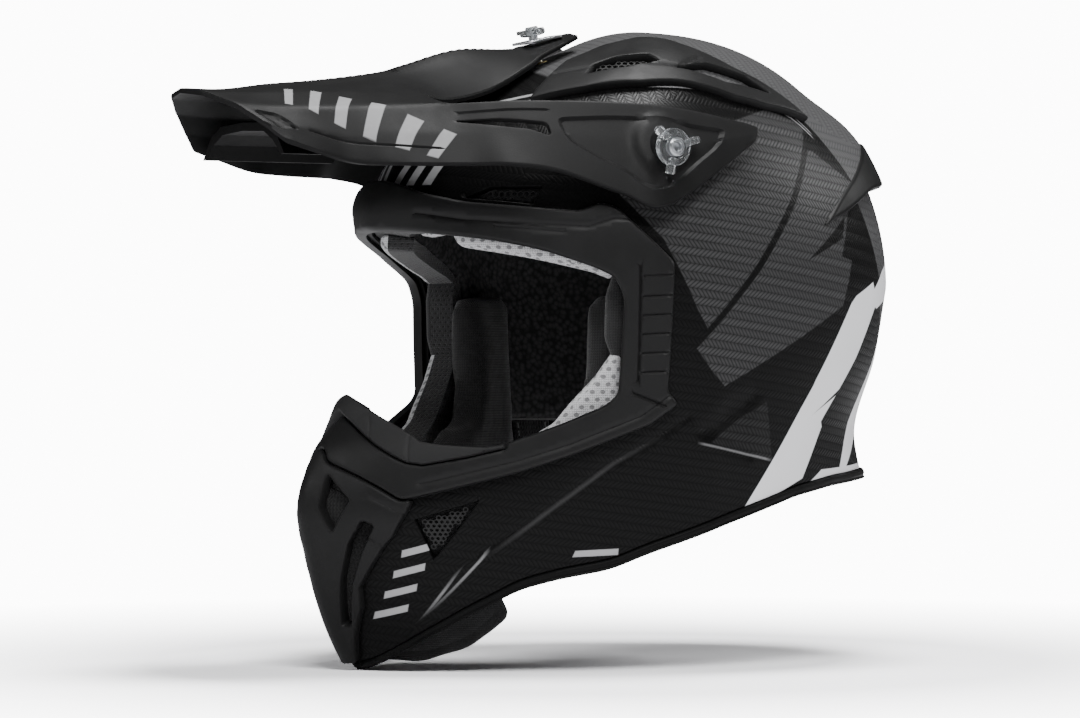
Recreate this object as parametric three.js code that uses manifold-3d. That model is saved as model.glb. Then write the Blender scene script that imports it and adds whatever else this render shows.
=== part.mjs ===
// Motocross helmet with a peak, chin bar, liners and chin strap, as separate solids.
// Millimetres, +Z up, as worn: the face looks along -Y and the wearer's left is +X.
// The origin is the middle of the head between the ear canals.
import * as THREE from 'three';
import { mergeVertices } from 'three/addons/utils/BufferGeometryUtils.js';
import Module from 'manifold-3d';

const wasm = await Module();
wasm.setup();

// ---- driving dimensions ----
const GAP = 0.35; // between pieces that touch
const FLOOR_Z = -150; // below every edge of the shell
const WIDEST_Z = 50; // the crown closes above this height
const TOP_Z = 178;
const HALF_WIDTH = 120;
const FRONT_REACH = 124;
const REAR_REACH = 150;
const AXIS_Y = 4; // where the sections turn from front to rear, low on the helmet
const AXIS_Y_TOP = 22;
const SHELL_THICK = 4;
const LINER_IN = -26; // the energy liner, below the outer surface
const PAD_IN = -36; // the comfort liner
const PIVOT_Y = -24; // side screws of the peak
const PIVOT_Z = 114.6;
const PIVOT_SEAT_X = 99; // the peak's boss starts here, against the side insert
const KNOB_X = 113.8;
const KNOB_RADIUS = 9;
const SCREW_RADIUS = 2.5;
const PIVOT_SEAT_RADIUS = 10.5;
const INSERT_RADIUS = 6;
const PEAK_THICK = 2.6;
const TONGUE_Y = -33; // the top screw
const TONGUE_Z = 169.3;
const TONGUE_TILT = Math.atan2(4, 18);
const STRAP_X = 106;
const STRAP_Y = 24;
const STRAP_TOP_Z = 2;
const STRAP_LOW_Z = -62;
const STRAP_WIDE = 22;
const STRAP_THICK = 2;
const RIVET_RADIUS = 2.2;
const WIDTH_ROUNDING = 0.97; // 1 is an ellipse, less is squarer
const REAR_ROUNDING = 0.82;
const AROUND = 32; // facets round a section
const CROWN_STEPS = 7;

// ---- how far each layer stands from the outer surface ----
const TRIM_IN = -9;
const TRIM_OUT = 1.6;
const TRIM_DROP = 5.5; // below the shell's edge
const FRAME_OUT = 4.5;
const NOSE_OUT = 5;
const COVER_OUT = 5;
const SPOILER_OUT = 8;
const MOUTHPIECE_OUT = 4.8;
const MESH_IN = -3.2;
const MESH_OUT = -1;
const CURTAIN_IN = -14;
const CURTAIN_OUT = -9.5;
const CHIN_LINER_IN = -15;
const NECK_ROLL_IN = -38;
const CHEEK_IN = -46;

// ---- the outer surface ----
function curve(xs, ys) {
  const slope = xs.slice(1).map((x, i) => (ys[i + 1] - ys[i]) / (x - xs[i]));
  const tangent = xs.map((_, i) => {
    if (i === 0) return slope[0];
    if (i === xs.length - 1) return slope[i - 1];
    const product = slope[i] * slope[i - 1];
    return product > 0 ? (2 * product) / (slope[i] + slope[i - 1]) : 0;
  });
  return (x) => {
    let i = 0;
    while (i < xs.length - 2 && x > xs[i + 1]) i += 1;
    const span = xs[i + 1] - xs[i];
    const t = Math.min(Math.max((x - xs[i]) / span, 0), 1);
    const a = 2 * t ** 3 - 3 * t ** 2 + 1;
    const b = (t ** 3 - 2 * t ** 2 + t) * span;
    const c = -2 * t ** 3 + 3 * t ** 2;
    const d = (t ** 3 - t ** 2) * span;
    return a * ys[i] + b * tangent[i] + c * ys[i + 1] + d * tangent[i + 1];
  };
}

const lowWidth = curve([-150, -95, -60, -20, 20, 50], [92, 101, 106, 113, 118, HALF_WIDTH]);
const lowFront = curve(
  [-150, -139, -109, -80, -60, -35, -17, 0, 50],
  [120, 129, 145, 154, 158, 151, 137, 128, FRONT_REACH],
);
const lowRear = curve([-150, -60, -45, -38, -22, 15, 50], [138, 138, 138, 135, 131, 143, REAR_REACH]);
const frontFullness = curve(
  [0, 0.2, 0.44, 0.66, 0.82, 0.875, 0.94, 1],
  [1, 1.01, 1.02, 0.95, 0.8, 0.66, 0.5, 0.45],
);
const frontPower = curve([-150, -35, 0, 50, 120, 178], [1.45, 1.45, 1.52, 1.55, 1.7, 1.8]);
const rearPower = curve([-150, 50, 178], [2.3, 2.3, 2.0]);

function section(z) {
  const rise = Math.min(Math.max((z - WIDEST_Z) / (TOP_Z - WIDEST_Z), 0), 1);
  const round = Math.sqrt(1 - rise * rise);
  const low = Math.min(z, WIDEST_Z);
  const middle = AXIS_Y + (AXIS_Y_TOP - AXIS_Y) * (1 - round);
  const above = z > WIDEST_Z;
  const frontAbove = (FRONT_REACH + AXIS_Y) * round * frontFullness(rise);
  const rearAbove = (REAR_REACH - AXIS_Y) * round ** REAR_ROUNDING;
  return {
    middle,
    width: above ? HALF_WIDTH * round ** WIDTH_ROUNDING : lowWidth(low),
    front: above ? frontAbove : lowFront(low) + AXIS_Y,
    rear: above ? rearAbove : lowRear(low) - AXIS_Y,
    frontPower: frontPower(z),
    rearPower: rearPower(z),
  };
}

function surfacePoint(angle, z) {
  const cut = section(z);
  const c = Math.cos(angle);
  const s = Math.abs(Math.sin(angle));
  const reach = c > 0 ? cut.front : cut.rear;
  const power = c > 0 ? cut.frontPower : cut.rearPower;
  const r = ((Math.abs(c) / reach) ** power + (s / cut.width) ** power) ** (-1 / power);
  return new THREE.Vector3(r * Math.sin(angle), cut.middle - r * c, z);
}

function surfaceNormal(angle, z) {
  const step = 0.02;
  const along = surfacePoint(angle + step, z).sub(surfacePoint(angle - step, z));
  const up = surfacePoint(angle, z + 0.4).sub(surfacePoint(angle, z - 0.4));
  return along.cross(up).normalize();
}

const levels = [FLOOR_Z, -128, -105, -82, -60, -40, -18, 12];
for (let i = 0; i <= CROWN_STEPS; i += 1) {
  levels.push(WIDEST_Z + (TOP_Z - 2 - WIDEST_Z) * Math.sin((i / CROWN_STEPS) * (Math.PI / 2)));
}

// ---- solids ----
function solid(geometry) {
  const bare = geometry.index ? geometry.toNonIndexed() : geometry.clone();
  bare.deleteAttribute('normal');
  bare.deleteAttribute('uv');
  const merged = mergeVertices(bare, 1e-4);
  const mesh = new wasm.Mesh({
    numProp: 3,
    vertProperties: new Float32Array(merged.attributes.position.array),
    triVerts: new Uint32Array(merged.index.array),
  });
  return new wasm.Manifold(mesh);
}

function geometryOf(body) {
  const mesh = body.getMesh();
  const geometry = new THREE.BufferGeometry();
  geometry.setAttribute('position', new THREE.BufferAttribute(new Float32Array(mesh.vertProperties), 3));
  geometry.setIndex(new THREE.BufferAttribute(new Uint32Array(mesh.triVerts), 1));
  return geometry;
}

function fromFaces(points, faces) {
  const geometry = new THREE.BufferGeometry();
  const places = points.flatMap((point) => [point.x, point.y, point.z]);
  geometry.setAttribute('position', new THREE.Float32BufferAttribute(places, 3));
  geometry.setIndex(faces.flat());
  return geometry;
}

// The whole outer surface moved out by `offset`, closed by a flat floor and a flat top.
function swollen(offset) {
  const points = [];
  const faces = [];
  levels.forEach((z) => {
    for (let i = 0; i < AROUND; i += 1) {
      const angle = (i / AROUND) * 2 * Math.PI;
      const out = surfaceNormal(angle, z === FLOOR_Z ? z + 1 : z).multiplyScalar(offset);
      if (z === FLOOR_Z) out.z = 0;
      points.push(surfacePoint(angle, z).add(out));
    }
  });
  const floor = points.push(new THREE.Vector3(0, 0, FLOOR_Z)) - 1;
  const roof = points.push(new THREE.Vector3(0, AXIS_Y_TOP, TOP_Z + offset)) - 1;
  const last = (levels.length - 1) * AROUND;
  for (let i = 0; i < AROUND; i += 1) {
    const j = (i + 1) % AROUND;
    faces.push([floor, j, i], [roof, last + i, last + j]);
    for (let k = 0; k + 1 < levels.length; k += 1) {
      const a = k * AROUND;
      const b = a + AROUND;
      faces.push([a + i, a + j, b + j], [a + i, b + j, b + i]);
    }
  }
  return solid(fromFaces(points, faces));
}

const swollenAt = new Map();
function layer(low, high) {
  [low, high].forEach((offset) => {
    if (!swollenAt.has(offset)) swollenAt.set(offset, swollen(offset));
  });
  return swollenAt.get(high).subtract(swollenAt.get(low));
}

function prism(points, depth, across, up, start) {
  const outline = new THREE.Shape(points.map(([a, b]) => new THREE.Vector2(a, b)));
  const geometry = new THREE.ExtrudeGeometry(outline, { depth, bevelEnabled: false });
  const along = new THREE.Vector3().crossVectors(across, up);
  const turn = new THREE.Matrix4().makeBasis(across, up, along);
  return solid(geometry.applyMatrix4(turn.setPosition(along.multiplyScalar(start))));
}

const X = new THREE.Vector3(1, 0, 0);
const Y = new THREE.Vector3(0, 1, 0);
const Z = new THREE.Vector3(0, 0, 1);
const WIDE = 200;

const sidePrism = (points, from = -WIDE, to = WIDE) => prism(points, to - from, Y, Z, from);
const frontPrism = (points, from = -WIDE, to = 0) => prism(points, to - from, X, Z, -to);
const topPrism = (points, from = 0, to = WIDE) => prism(points, to - from, X, Y, from);
const mirrored = (points) => [...points, ...points.map(([x, z]) => [-x, z]).reverse()];
const flipped = (body) => body.mirror([1, 0, 0]);

// The outline moved out by `distance`, for outlines given anticlockwise.
function grown(points, distance) {
  return points.map((point, i) => {
    const before = points[(i + points.length - 1) % points.length];
    const after = points[(i + 1) % points.length];
    const a = new THREE.Vector2(point[1] - before[1], before[0] - point[0]).normalize();
    const b = new THREE.Vector2(after[1] - point[1], point[0] - after[0]).normalize();
    const stretch = distance / Math.max(1 + a.dot(b), 0.3);
    return [point[0] + (a.x + b.x) * stretch, point[1] + (a.y + b.y) * stretch];
  });
}

function box(x0, x1, y0, y1, z0, z1) {
  const geometry = new THREE.BoxGeometry(x1 - x0, y1 - y0, z1 - z0);
  return solid(geometry.translate((x0 + x1) / 2, (y0 + y1) / 2, (z0 + z1) / 2));
}

// A round bar along X, from x0 to x1.
function barX(radius, x0, x1, y, z, sides = 20) {
  const geometry = new THREE.CylinderGeometry(radius, radius, x1 - x0, sides);
  geometry.rotateZ(-Math.PI / 2);
  return solid(geometry.translate((x0 + x1) / 2, y, z));
}

// A sheet of even thickness under a patch of corner points.
function sheet(points, quads, thick) {
  const triangles = quads.flatMap(([a, b, c, d]) => [[a, b, c], [a, c, d]]);
  const normals = points.map(() => new THREE.Vector3());
  triangles.forEach(([a, b, c]) => {
    const face = points[b].clone().sub(points[a]).cross(points[c].clone().sub(points[a]));
    [a, b, c].forEach((i) => normals[i].add(face));
  });
  const under = points.map((p, i) => p.clone().addScaledVector(normals[i].normalize(), -thick));
  const n = points.length;
  const faces = [...triangles, ...triangles.map(([a, b, c]) => [a + n, c + n, b + n])];
  const edges = new Set(triangles.flatMap(([a, b, c]) => [`${a},${b}`, `${b},${c}`, `${c},${a}`]));
  edges.forEach((edge) => {
    const [a, b] = edge.split(',').map(Number);
    if (!edges.has(`${b},${a}`)) faces.push([b, a, a + n], [b, a + n, b + n]);
  });
  return solid(fromFaces([...points, ...under], faces));
}

// ---- outlines: side views are [y, z], front views [x, z], top views [x, y] ----
const PORT = [
  [-44, -3], [-43, 44], [-47, 53], [-54, 57], [-75, 66], [-93, 71], [-120, 76], [-190, 77],
  [-190, -7], [-134, -7], [-130, -18], [-126, -25], [-115, -28], [-94, -29], [-69, -18], [-49, -8],
];
const FRAME = [
  [-23, -1], [-22, 60], [-45, 86], [-51, 88], [-60, 84], [-78, 86], [-98, 88], [-109, 92], [-116, 99],
  [-190, 104],
  [-190, -22], [-147, -22], [-150, -37], [-129, -54], [-84, -40], [-63, -32], [-30, -17], [-18, -7],
];
const NOSE_TOP = [[-40, -25], [-27, -18], [0, -7], [27, -18], [40, -25], [40, 10], [-40, 10]];
const NOSE_LOWER = [[0, -15], [26, -29], [40, -36], [46, -37], [60, -33], [70, -29]];
const MOUTHPIECE = [
  [0, -24], [17, -37], [44, -54], [43, -58], [37, -70], [33, -75], [20, -95], [18, -105], [4, -131],
];
const MOUTH_VENT_TOP = [[10, -43], [22, -54], [14, -68], [9, -57]];
const MOUTH_VENT_LOW = [
  [31, -65], [24, -78], [17, -94], [11, -113], [7, -113], [13, -92], [20, -74], [27, -63],
];
const MOUTH_HOLE = [[0, -42], [33, -60], [24, -80], [15, -108], [0, -118]];
const MOUTH_FILTER = [[0, -43], [32, -60.3], [23.3, -80], [14.4, -107.5], [0, -117]];
const CHIN_VENT = [[-101, -54], [-124, -63], [-116, -81]];
const EDGE = [
  [-190, -136], [-133, -134], [-116, -116.5], [-102, -105], [-81, -91], [-65, -86], [-43, -81.5],
  [-26, -74], [14, -60], [54, -47.5], [80, -43], [106, -41], [190, -38.5],
];
const CROWN_COVER = [
  [46, -62], [61, -40], [74, -16], [82, 10], [86, 28], [86, 46], [81, 74],
  [77, 62], [68, 38], [53, 18], [38, 4],
  [31, -12], [33, -34],
];
const CROWN_VENT = [[54, -34], [63, -17], [66, -2], [60, -4], [52, -17], [50, -28]];
const REAR_SCOOP = [[72, 4], [79, 27], [79, 52], [73, 42], [69, 22]];
const SPOILER = [[66, 78], [86, 86], [107, 96], [190, 104], [190, 126], [116, 119], [95, 103], [81, 93]];
const BROW_VENT = [[-98, 91.5], [-77, 88.5], [-73, 96], [-90, 96]];
const CURTAIN = [
  [-130, -128], [-125, -139], [-115, -137], [-98, -128], [-84, -112], [-90, -100], [-111, -112],
];
const CHIN_REGION = [[-190, -200], [-60, -200], [-60, 10], [-190, 10]];
const CHIN_LINER = [[-190, -200], [-64, -200], [-64, 8], [-190, 8]];
const NECK_ROLL = [[62, -30], [130, -22], [130, 20], [62, 14]];
const CHEEK = [[-41, 48], [-47, -12], [-64, -26], [-68, -52], [-44, -70], [-12, -62], [-2, -40], [-2, 50]];
const STRAP_SWEEP = [[9, 16], [-4, -70], [86, -70], [39, 16]];
const STRAP_FLARE = [[-1, -70], [79, -70], [66, -20], [4, -20]];
const DUCT = [[0, 127], [24, 126], [35, 121], [44, 110.5], [40, 110.5], [32, 117.5], [22, 122], [0, 123]];

function belowEdge(drop) {
  const line = EDGE.map(([y, z]) => [y, z - drop]);
  return sidePrism([...line, [190, -200], [-190, -200]].reverse());
}

// ---- shell and its trim ----
function pierced(body, hole) {
  return body.subtract(hole).subtract(flipped(hole));
}

const leftPrism = (points) => sidePrism(points, 0);

function portHole(margin) {
  return sidePrism(grown(PORT, margin)).add(frontPrism(grown(NOSE_TOP, margin), -WIDE, -100));
}

function outerShell() {
  let body = layer(-SHELL_THICK, 0).subtract(portHole(2)).subtract(belowEdge(0));
  body = pierced(body, leftPrism(grown(CHIN_VENT, GAP)));
  body = pierced(body, topPrism(grown(CROWN_VENT, GAP)));
  body = pierced(body, leftPrism(grown(BROW_VENT, GAP)));
  body = body.subtract(frontPrism(mirrored(MOUTH_HOLE)));
  body = body.subtract(barX(INSERT_RADIUS + GAP, -WIDE, WIDE, PIVOT_Y, PIVOT_Z));
  return body.subtract(topInsertBody(GAP));
}

function noseOutline(margin) {
  const low = NOSE_LOWER.map(([x, z]) => [x, z - margin]);
  return mirrored([...low, [76, -24], [76, 8], [0, 8]].reverse());
}

function eyeportFrame() {
  const nose = frontPrism(noseOutline(GAP), -WIDE, -80);
  return layer(GAP, FRAME_OUT).intersect(sidePrism(FRAME)).subtract(portHole(0)).subtract(nose);
}

function noseGuard() {
  return layer(GAP, NOSE_OUT).intersect(frontPrism(noseOutline(0), -WIDE, -80)).subtract(portHole(0));
}

function baseTrim() {
  return layer(TRIM_IN, TRIM_OUT).subtract(belowEdge(TRIM_DROP)).intersect(belowEdge(GAP));
}

function crownCover() {
  const whole = layer(GAP, COVER_OUT).intersect(topPrism(CROWN_COVER));
  return whole.subtract(topPrism(CROWN_VENT)).subtract(topPrism(REAR_SCOOP));
}

function ventMesh(hole) {
  return layer(MESH_IN, MESH_OUT).intersect(hole);
}

function rearSpoiler() {
  return layer(GAP, SPOILER_OUT).intersect(sidePrism(SPOILER));
}

function mouthpiece() {
  let body = layer(GAP, MOUTHPIECE_OUT).intersect(frontPrism(mirrored(MOUTHPIECE)));
  body = body.subtract(sidePrism(grown(FRAME, GAP)));
  body = body.subtract(belowEdge(-3));
  body = pierced(body, frontPrism([...MOUTH_VENT_TOP].reverse()));
  return pierced(body, frontPrism([...MOUTH_VENT_LOW].reverse()));
}

function mouthFilter() {
  return ventMesh(frontPrism(mirrored(MOUTH_FILTER)));
}

function chinCurtain() {
  return layer(CURTAIN_IN, CURTAIN_OUT).intersect(sidePrism(CURTAIN));
}

// ---- liners ----
function crownLiner() {
  const screwPocket = barX(INSERT_RADIUS + 0.6, PIVOT_SEAT_X - 9, WIDE, PIVOT_Y, PIVOT_Z);
  let body = layer(LINER_IN, -SHELL_THICK - GAP).subtract(portHole(4)).subtract(belowEdge(-8));
  body = body.subtract(sidePrism(CHIN_REGION)).subtract(topInsertBody(1));
  return [screwPocket, ...strapPockets()].reduce(pierced, body);
}

// Room between liner and shell for the strap to swing in.
function strapPockets() {
  return [sidePrism(STRAP_SWEEP, STRAP_X - 7), sidePrism(STRAP_FLARE, 80)];
}

function chinLiner() {
  const mouth = box(-24, 24, -WIDE, -90, -110, -46);
  const body = layer(CHIN_LINER_IN, -SHELL_THICK - GAP).intersect(sidePrism(CHIN_LINER));
  return body.subtract(portHole(4)).subtract(belowEdge(-3.5)).subtract(mouth);
}

function crownPad() {
  return layer(PAD_IN, LINER_IN - GAP).intersect(box(-WIDE, WIDE, -60, 120, 62, 140));
}

function browPad() {
  return layer(PAD_IN, LINER_IN - GAP).intersect(box(-84, 84, -140, -62, 74, 98));
}

function neckRoll() {
  return layer(NECK_ROLL_IN, LINER_IN - GAP).intersect(sidePrism(NECK_ROLL));
}

function cheekPad() {
  return layer(CHEEK_IN, LINER_IN - 1).intersect(sidePrism(CHEEK, 20));
}

function releaseTab() {
  return box(62, 65, -31, -17, -84, -70.5);
}

// ---- peak ----
const PEAK_ROWS = [
  [[0, -227, 141.5], [17, -224, 139.5], [33, -214, 133], [44, -204, 124], [51, -196, 116]],
  [[0, -208, 141.5], [20, -203, 139.5], [37, -193, 132], [47, -185, 122], [53, -180, 111]],
  [[0, -184, 142], [24, -180, 140], [42, -172, 132], [51, -166, 119], [56, -162, 106]],
  [[0, -155, 143], [29, -152, 140.5], [48, -147, 133], [60, -143, 119.5], [68, -141, 105.5]],
  [[0, -122, 145], [38, -120, 139.5], [57, -119, 134.5], [71, -116, 120], [81, -114, 105.5]],
];
const TONGUE_ROWS = [
  [[0, -107, 153.5], [36, -100, 138.5]],
  [[0, -77, 163.5], [29, -73, 145]],
  [[0, -52, 166.3], [22, -48, 157.5]],
  [[0, -42, 167.3], [19, -40, 162.5]],
  [[0, -24, 171.3], [14, -24, 169.5]],
  [[0, -13, 176], [12, -15, 174]],
];
const WING_ROWS = [
  [[68, -100, 135.5], [80, -98, 121], [92, -98, 105.5]],
  [[77, -82, 136.3], [89, -78, 121], [100, -77, 102.5]],
  [[91, -46, 136], [102, -44, 118], [111, -50, 92.5]],
  [[101, -13, 133.5], [111, -19, 115], [118, -27, 87]],
  [[109, 28, 125.5], [110.5, 27, 122], [112, 25, 118.5]],
];

function peakHalf(side) {
  const points = [];
  const place = (row) => row.map(([x, y, z]) => points.push(new THREE.Vector3(side * x, y, z)) - 1);
  const front = PEAK_ROWS.map(place);
  const tongue = TONGUE_ROWS.map(place);
  const wing = WING_ROWS.map(place);
  const quads = [];
  const join = (rows) => {
    rows.slice(1).forEach((row, k) => {
      row.slice(1).forEach((_, i) => quads.push([rows[k][i], rows[k][i + 1], row[i + 1], row[i]]));
    });
  };
  join(front);
  join([front[4].slice(0, 2), ...tongue]);
  join([front[4].slice(2), ...wing]);
  return { points, quads: side > 0 ? quads : quads.map((quad) => [...quad].reverse()) };
}

function peakShell() {
  const left = peakHalf(1);
  const right = peakHalf(-1);
  const points = [...left.points];
  const moved = right.points.map((point, i) => (point.x === 0 ? i : points.push(point) - 1));
  const quads = [...left.quads, ...right.quads.map((quad) => quad.map((k) => moved[k]))];
  const seat = barX(PIVOT_SEAT_RADIUS, PIVOT_SEAT_X + GAP, KNOB_X - GAP, PIVOT_Y, PIVOT_Z, 24);
  const seatOff = seat.subtract(swollen(1.5));
  const screwHole = barX(SCREW_RADIUS + 0.6, -WIDE, WIDE, PIVOT_Y, PIVOT_Z);
  const body = sheet(points, quads, PEAK_THICK).add(seatOff).add(flipped(seatOff));
  return body.subtract(screwHole).subtract(tongueSlot());
}

function tongueSlot() {
  return box(-SCREW_RADIUS - 0.6, SCREW_RADIUS + 0.6, TONGUE_Y - 8.5, TONGUE_Y + 8.5, 150, 190);
}

function peakDuct() {
  return frontPrism(mirrored(DUCT), -194, -125);
}

// ---- screws, knobs and inserts ----
function sideInsert() {
  const nut = barX(INSERT_RADIUS, PIVOT_SEAT_X - 8, PIVOT_SEAT_X, PIVOT_Y, PIVOT_Z);
  return nut.subtract(barX(SCREW_RADIUS + GAP, PIVOT_SEAT_X - 9, KNOB_X, PIVOT_Y, PIVOT_Z, 16));
}

function sideKnob() {
  let body = barX(KNOB_RADIUS, KNOB_X, KNOB_X + 4, PIVOT_Y, PIVOT_Z, 24);
  body = body.add(barX(SCREW_RADIUS, PIVOT_SEAT_X - 7, KNOB_X + 1, PIVOT_Y, PIVOT_Z, 16));
  body = body.add(barX(KNOB_RADIUS / 2, KNOB_X + 3, KNOB_X + 7, PIVOT_Y, PIVOT_Z, 16));
  for (let i = 0; i < 3; i += 1) {
    const wing = new THREE.BoxGeometry(5.4, 8, 3.4).translate(KNOB_X + 3.4, KNOB_RADIUS + 0.5, 0);
    wing.rotateX((i * 2 * Math.PI) / 3 + 0.3).translate(0, PIVOT_Y, PIVOT_Z);
    body = body.add(solid(wing));
  }
  return body;
}

// A shape drawn round the top screw's axis, set at the tongue's tilt.
function onTongue(geometry) {
  return solid(geometry.rotateX(TONGUE_TILT).translate(0, TONGUE_Y, TONGUE_Z));
}

function barOnTongue(radius, z0, z1, sides) {
  const geometry = new THREE.CylinderGeometry(radius, radius, z1 - z0, sides);
  return onTongue(geometry.rotateX(Math.PI / 2).translate(0, 0, (z0 + z1) / 2));
}

function topInsertBody(margin) {
  return barOnTongue(5 + margin, -17.1, -8.1, 20);
}

function topInsert() {
  return topInsertBody(0).subtract(barOnTongue(SCREW_RADIUS + GAP, -18.6, -6.6, 16));
}

function topKnob() {
  return barOnTongue(7, 5.1, 8.1, 20).add(barOnTongue(SCREW_RADIUS, -14.6, 6.4, 16));
}

function topBracket() {
  const plate = onTongue(new THREE.BoxGeometry(19, 22, 1.3).translate(0, 2, 2.5));
  return plate.subtract(tongueSlot());
}

// ---- chin strap ----
function strapWeb(end) {
  const outer = STRAP_X;
  const inner = outer - STRAP_THICK;
  const low = STRAP_LOW_Z;
  const top = STRAP_TOP_Z + 9;
  const outside = [[outer, top], [outer, -12], [98, -47.5], [59, low], [end, low]];
  const inside = [[end, low + STRAP_THICK], [58, low + STRAP_THICK], [96, -46], [inner, -11], [inner, top]];
  const half = STRAP_WIDE / 2;
  const web = frontPrism([...outside, ...inside], STRAP_Y - half, STRAP_Y + half);
  return web.subtract(barX(RIVET_RADIUS + 0.4, -WIDE, WIDE, STRAP_Y, STRAP_TOP_Z, 12));
}

function dRing(x, z) {
  const half = STRAP_WIDE / 2 + 1;
  const outer = [[0, -half], [9, -half], [12, -half + 5], [12, half - 5], [9, half], [0, half]];
  const inner = [
    [2.5, -half + 2.5], [8, -half + 2.5], [9.5, -half + 6],
    [9.5, half - 6], [8, half - 2.5], [2.5, half - 2.5],
  ];
  const outline = new THREE.Shape(outer.map(([a, b]) => new THREE.Vector2(a, b)));
  outline.holes.push(new THREE.Path(inner.map(([a, b]) => new THREE.Vector2(a, b))));
  const geometry = new THREE.ExtrudeGeometry(outline, { depth: 2.2, bevelEnabled: false });
  return solid(geometry.translate(x, STRAP_Y, z));
}

function strapSnap() {
  const snap = new THREE.CylinderGeometry(5.5, 6.5, 2.4, 20).rotateX(Math.PI / 2);
  return solid(snap.translate(32, STRAP_Y, STRAP_LOW_Z - 1.2 - GAP));
}

function strapRivet() {
  const inner = STRAP_X - STRAP_THICK;
  const pin = barX(RIVET_RADIUS, inner - 1.2, STRAP_X + 4.2, STRAP_Y, STRAP_TOP_Z, 12);
  return pin.add(barX(5, inner - 2.2, inner - GAP, STRAP_Y, STRAP_TOP_Z, 16));
}

function anchorPlate() {
  const plate = box(STRAP_X + GAP, STRAP_X + 2, STRAP_Y - 8, STRAP_Y + 8, STRAP_TOP_Z - 9, STRAP_TOP_Z + 9);
  return plate.subtract(barX(RIVET_RADIUS + GAP, STRAP_X - 9, STRAP_X + 9, STRAP_Y, STRAP_TOP_Z, 12));
}

// ---- assembly ----
const helmet = new THREE.Group();

function put(name, body, color, roughness = 0.6, metalness = 0) {
  const material = new THREE.MeshStandardMaterial({ color, roughness, metalness });
  const mesh = new THREE.Mesh(geometryOf(body), material);
  mesh.name = name;
  helmet.add(mesh);
}

function putPair(name, body, ...look) {
  put(`${name}_left`, body, ...look);
  put(`${name}_right`, flipped(body), ...look);
}

put('outer_shell', outerShell(), 0x1c1e20, 0.45);
put('eyeport_frame', eyeportFrame(), 0x28292b, 0.7);
put('nose_guard', noseGuard(), 0x2e2f31, 0.75);
put('base_trim', baseTrim(), 0x202122, 0.8);
putPair('crown_vent_cover', crownCover(), 0x4a4c4e, 0.6);
putPair('crown_vent_mesh', ventMesh(topPrism(CROWN_VENT)), 0x0c0c0d, 0.8);
putPair('brow_vent_mesh', ventMesh(leftPrism(BROW_VENT)), 0x0c0c0d, 0.8);
put('rear_spoiler', rearSpoiler(), 0x3a3c3e, 0.6);
put('chin_mouthpiece', mouthpiece(), 0x303133, 0.65);
put('mouth_filter', mouthFilter(), 0x101112, 0.9);
putPair('chin_vent_mesh', ventMesh(leftPrism(CHIN_VENT)), 0x0c0c0d, 0.8);
put('chin_curtain', chinCurtain(), 0x17181a, 0.85);
put('crown_liner', crownLiner(), 0x26272a, 0.95);
put('chin_liner', chinLiner(), 0x26272a, 0.95);
put('crown_pad', crownPad(), 0x17181a, 0.95);
put('brow_pad', browPad(), 0xbfc1c3, 0.95);
put('neck_roll', neckRoll(), 0x17181a, 0.95);
putPair('cheek_pad', cheekPad(), 0x202225, 0.95);
putPair('cheek_release_tab', releaseTab(), 0x8c1c1c, 0.7);
put('peak_shell', peakShell(), 0x333436, 0.6);
put('peak_duct', peakDuct(), 0x26272a, 0.6);
put('peak_top_bracket', topBracket(), 0xc8cacc, 0.3, 0.8);
putPair('peak_side_insert', sideInsert(), 0xb09a5a, 0.35, 0.9);
put('peak_top_insert', topInsert(), 0xb09a5a, 0.35, 0.9);
putPair('peak_side_knob', sideKnob(), 0xd9dcde, 0.1);
put('peak_top_knob', topKnob(), 0xd9dcde, 0.1);
putPair('strap_rivet', strapRivet(), 0x9a9c9e, 0.3, 0.9);
putPair('strap_anchor_plate', anchorPlate(), 0x9a9c9e, 0.35, 0.9);
put('strap_left', strapWeb(3), 0x151617, 0.9);
put('strap_right', flipped(strapWeb(14)), 0x151617, 0.9);
put('strap_ring_upper', dRing(-12.4, STRAP_LOW_Z - 2.7), 0xb8babc, 0.25, 0.95);
put('strap_ring_lower', dRing(-10.4, STRAP_LOW_Z - 5.3), 0xb8babc, 0.25, 0.95);
put('strap_snap', strapSnap(), 0x1a1a1b, 0.5);

export default helmet;
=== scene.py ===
"""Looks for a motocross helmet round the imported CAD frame: woven shell, peak, liners, pads and chin strap."""

import math
from functools import partialmethod

import bmesh
import bpy
import numpy as np
from mathutils import Matrix, Vector, kdtree
from mathutils.geometry import delaunay_2d_cdt


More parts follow.
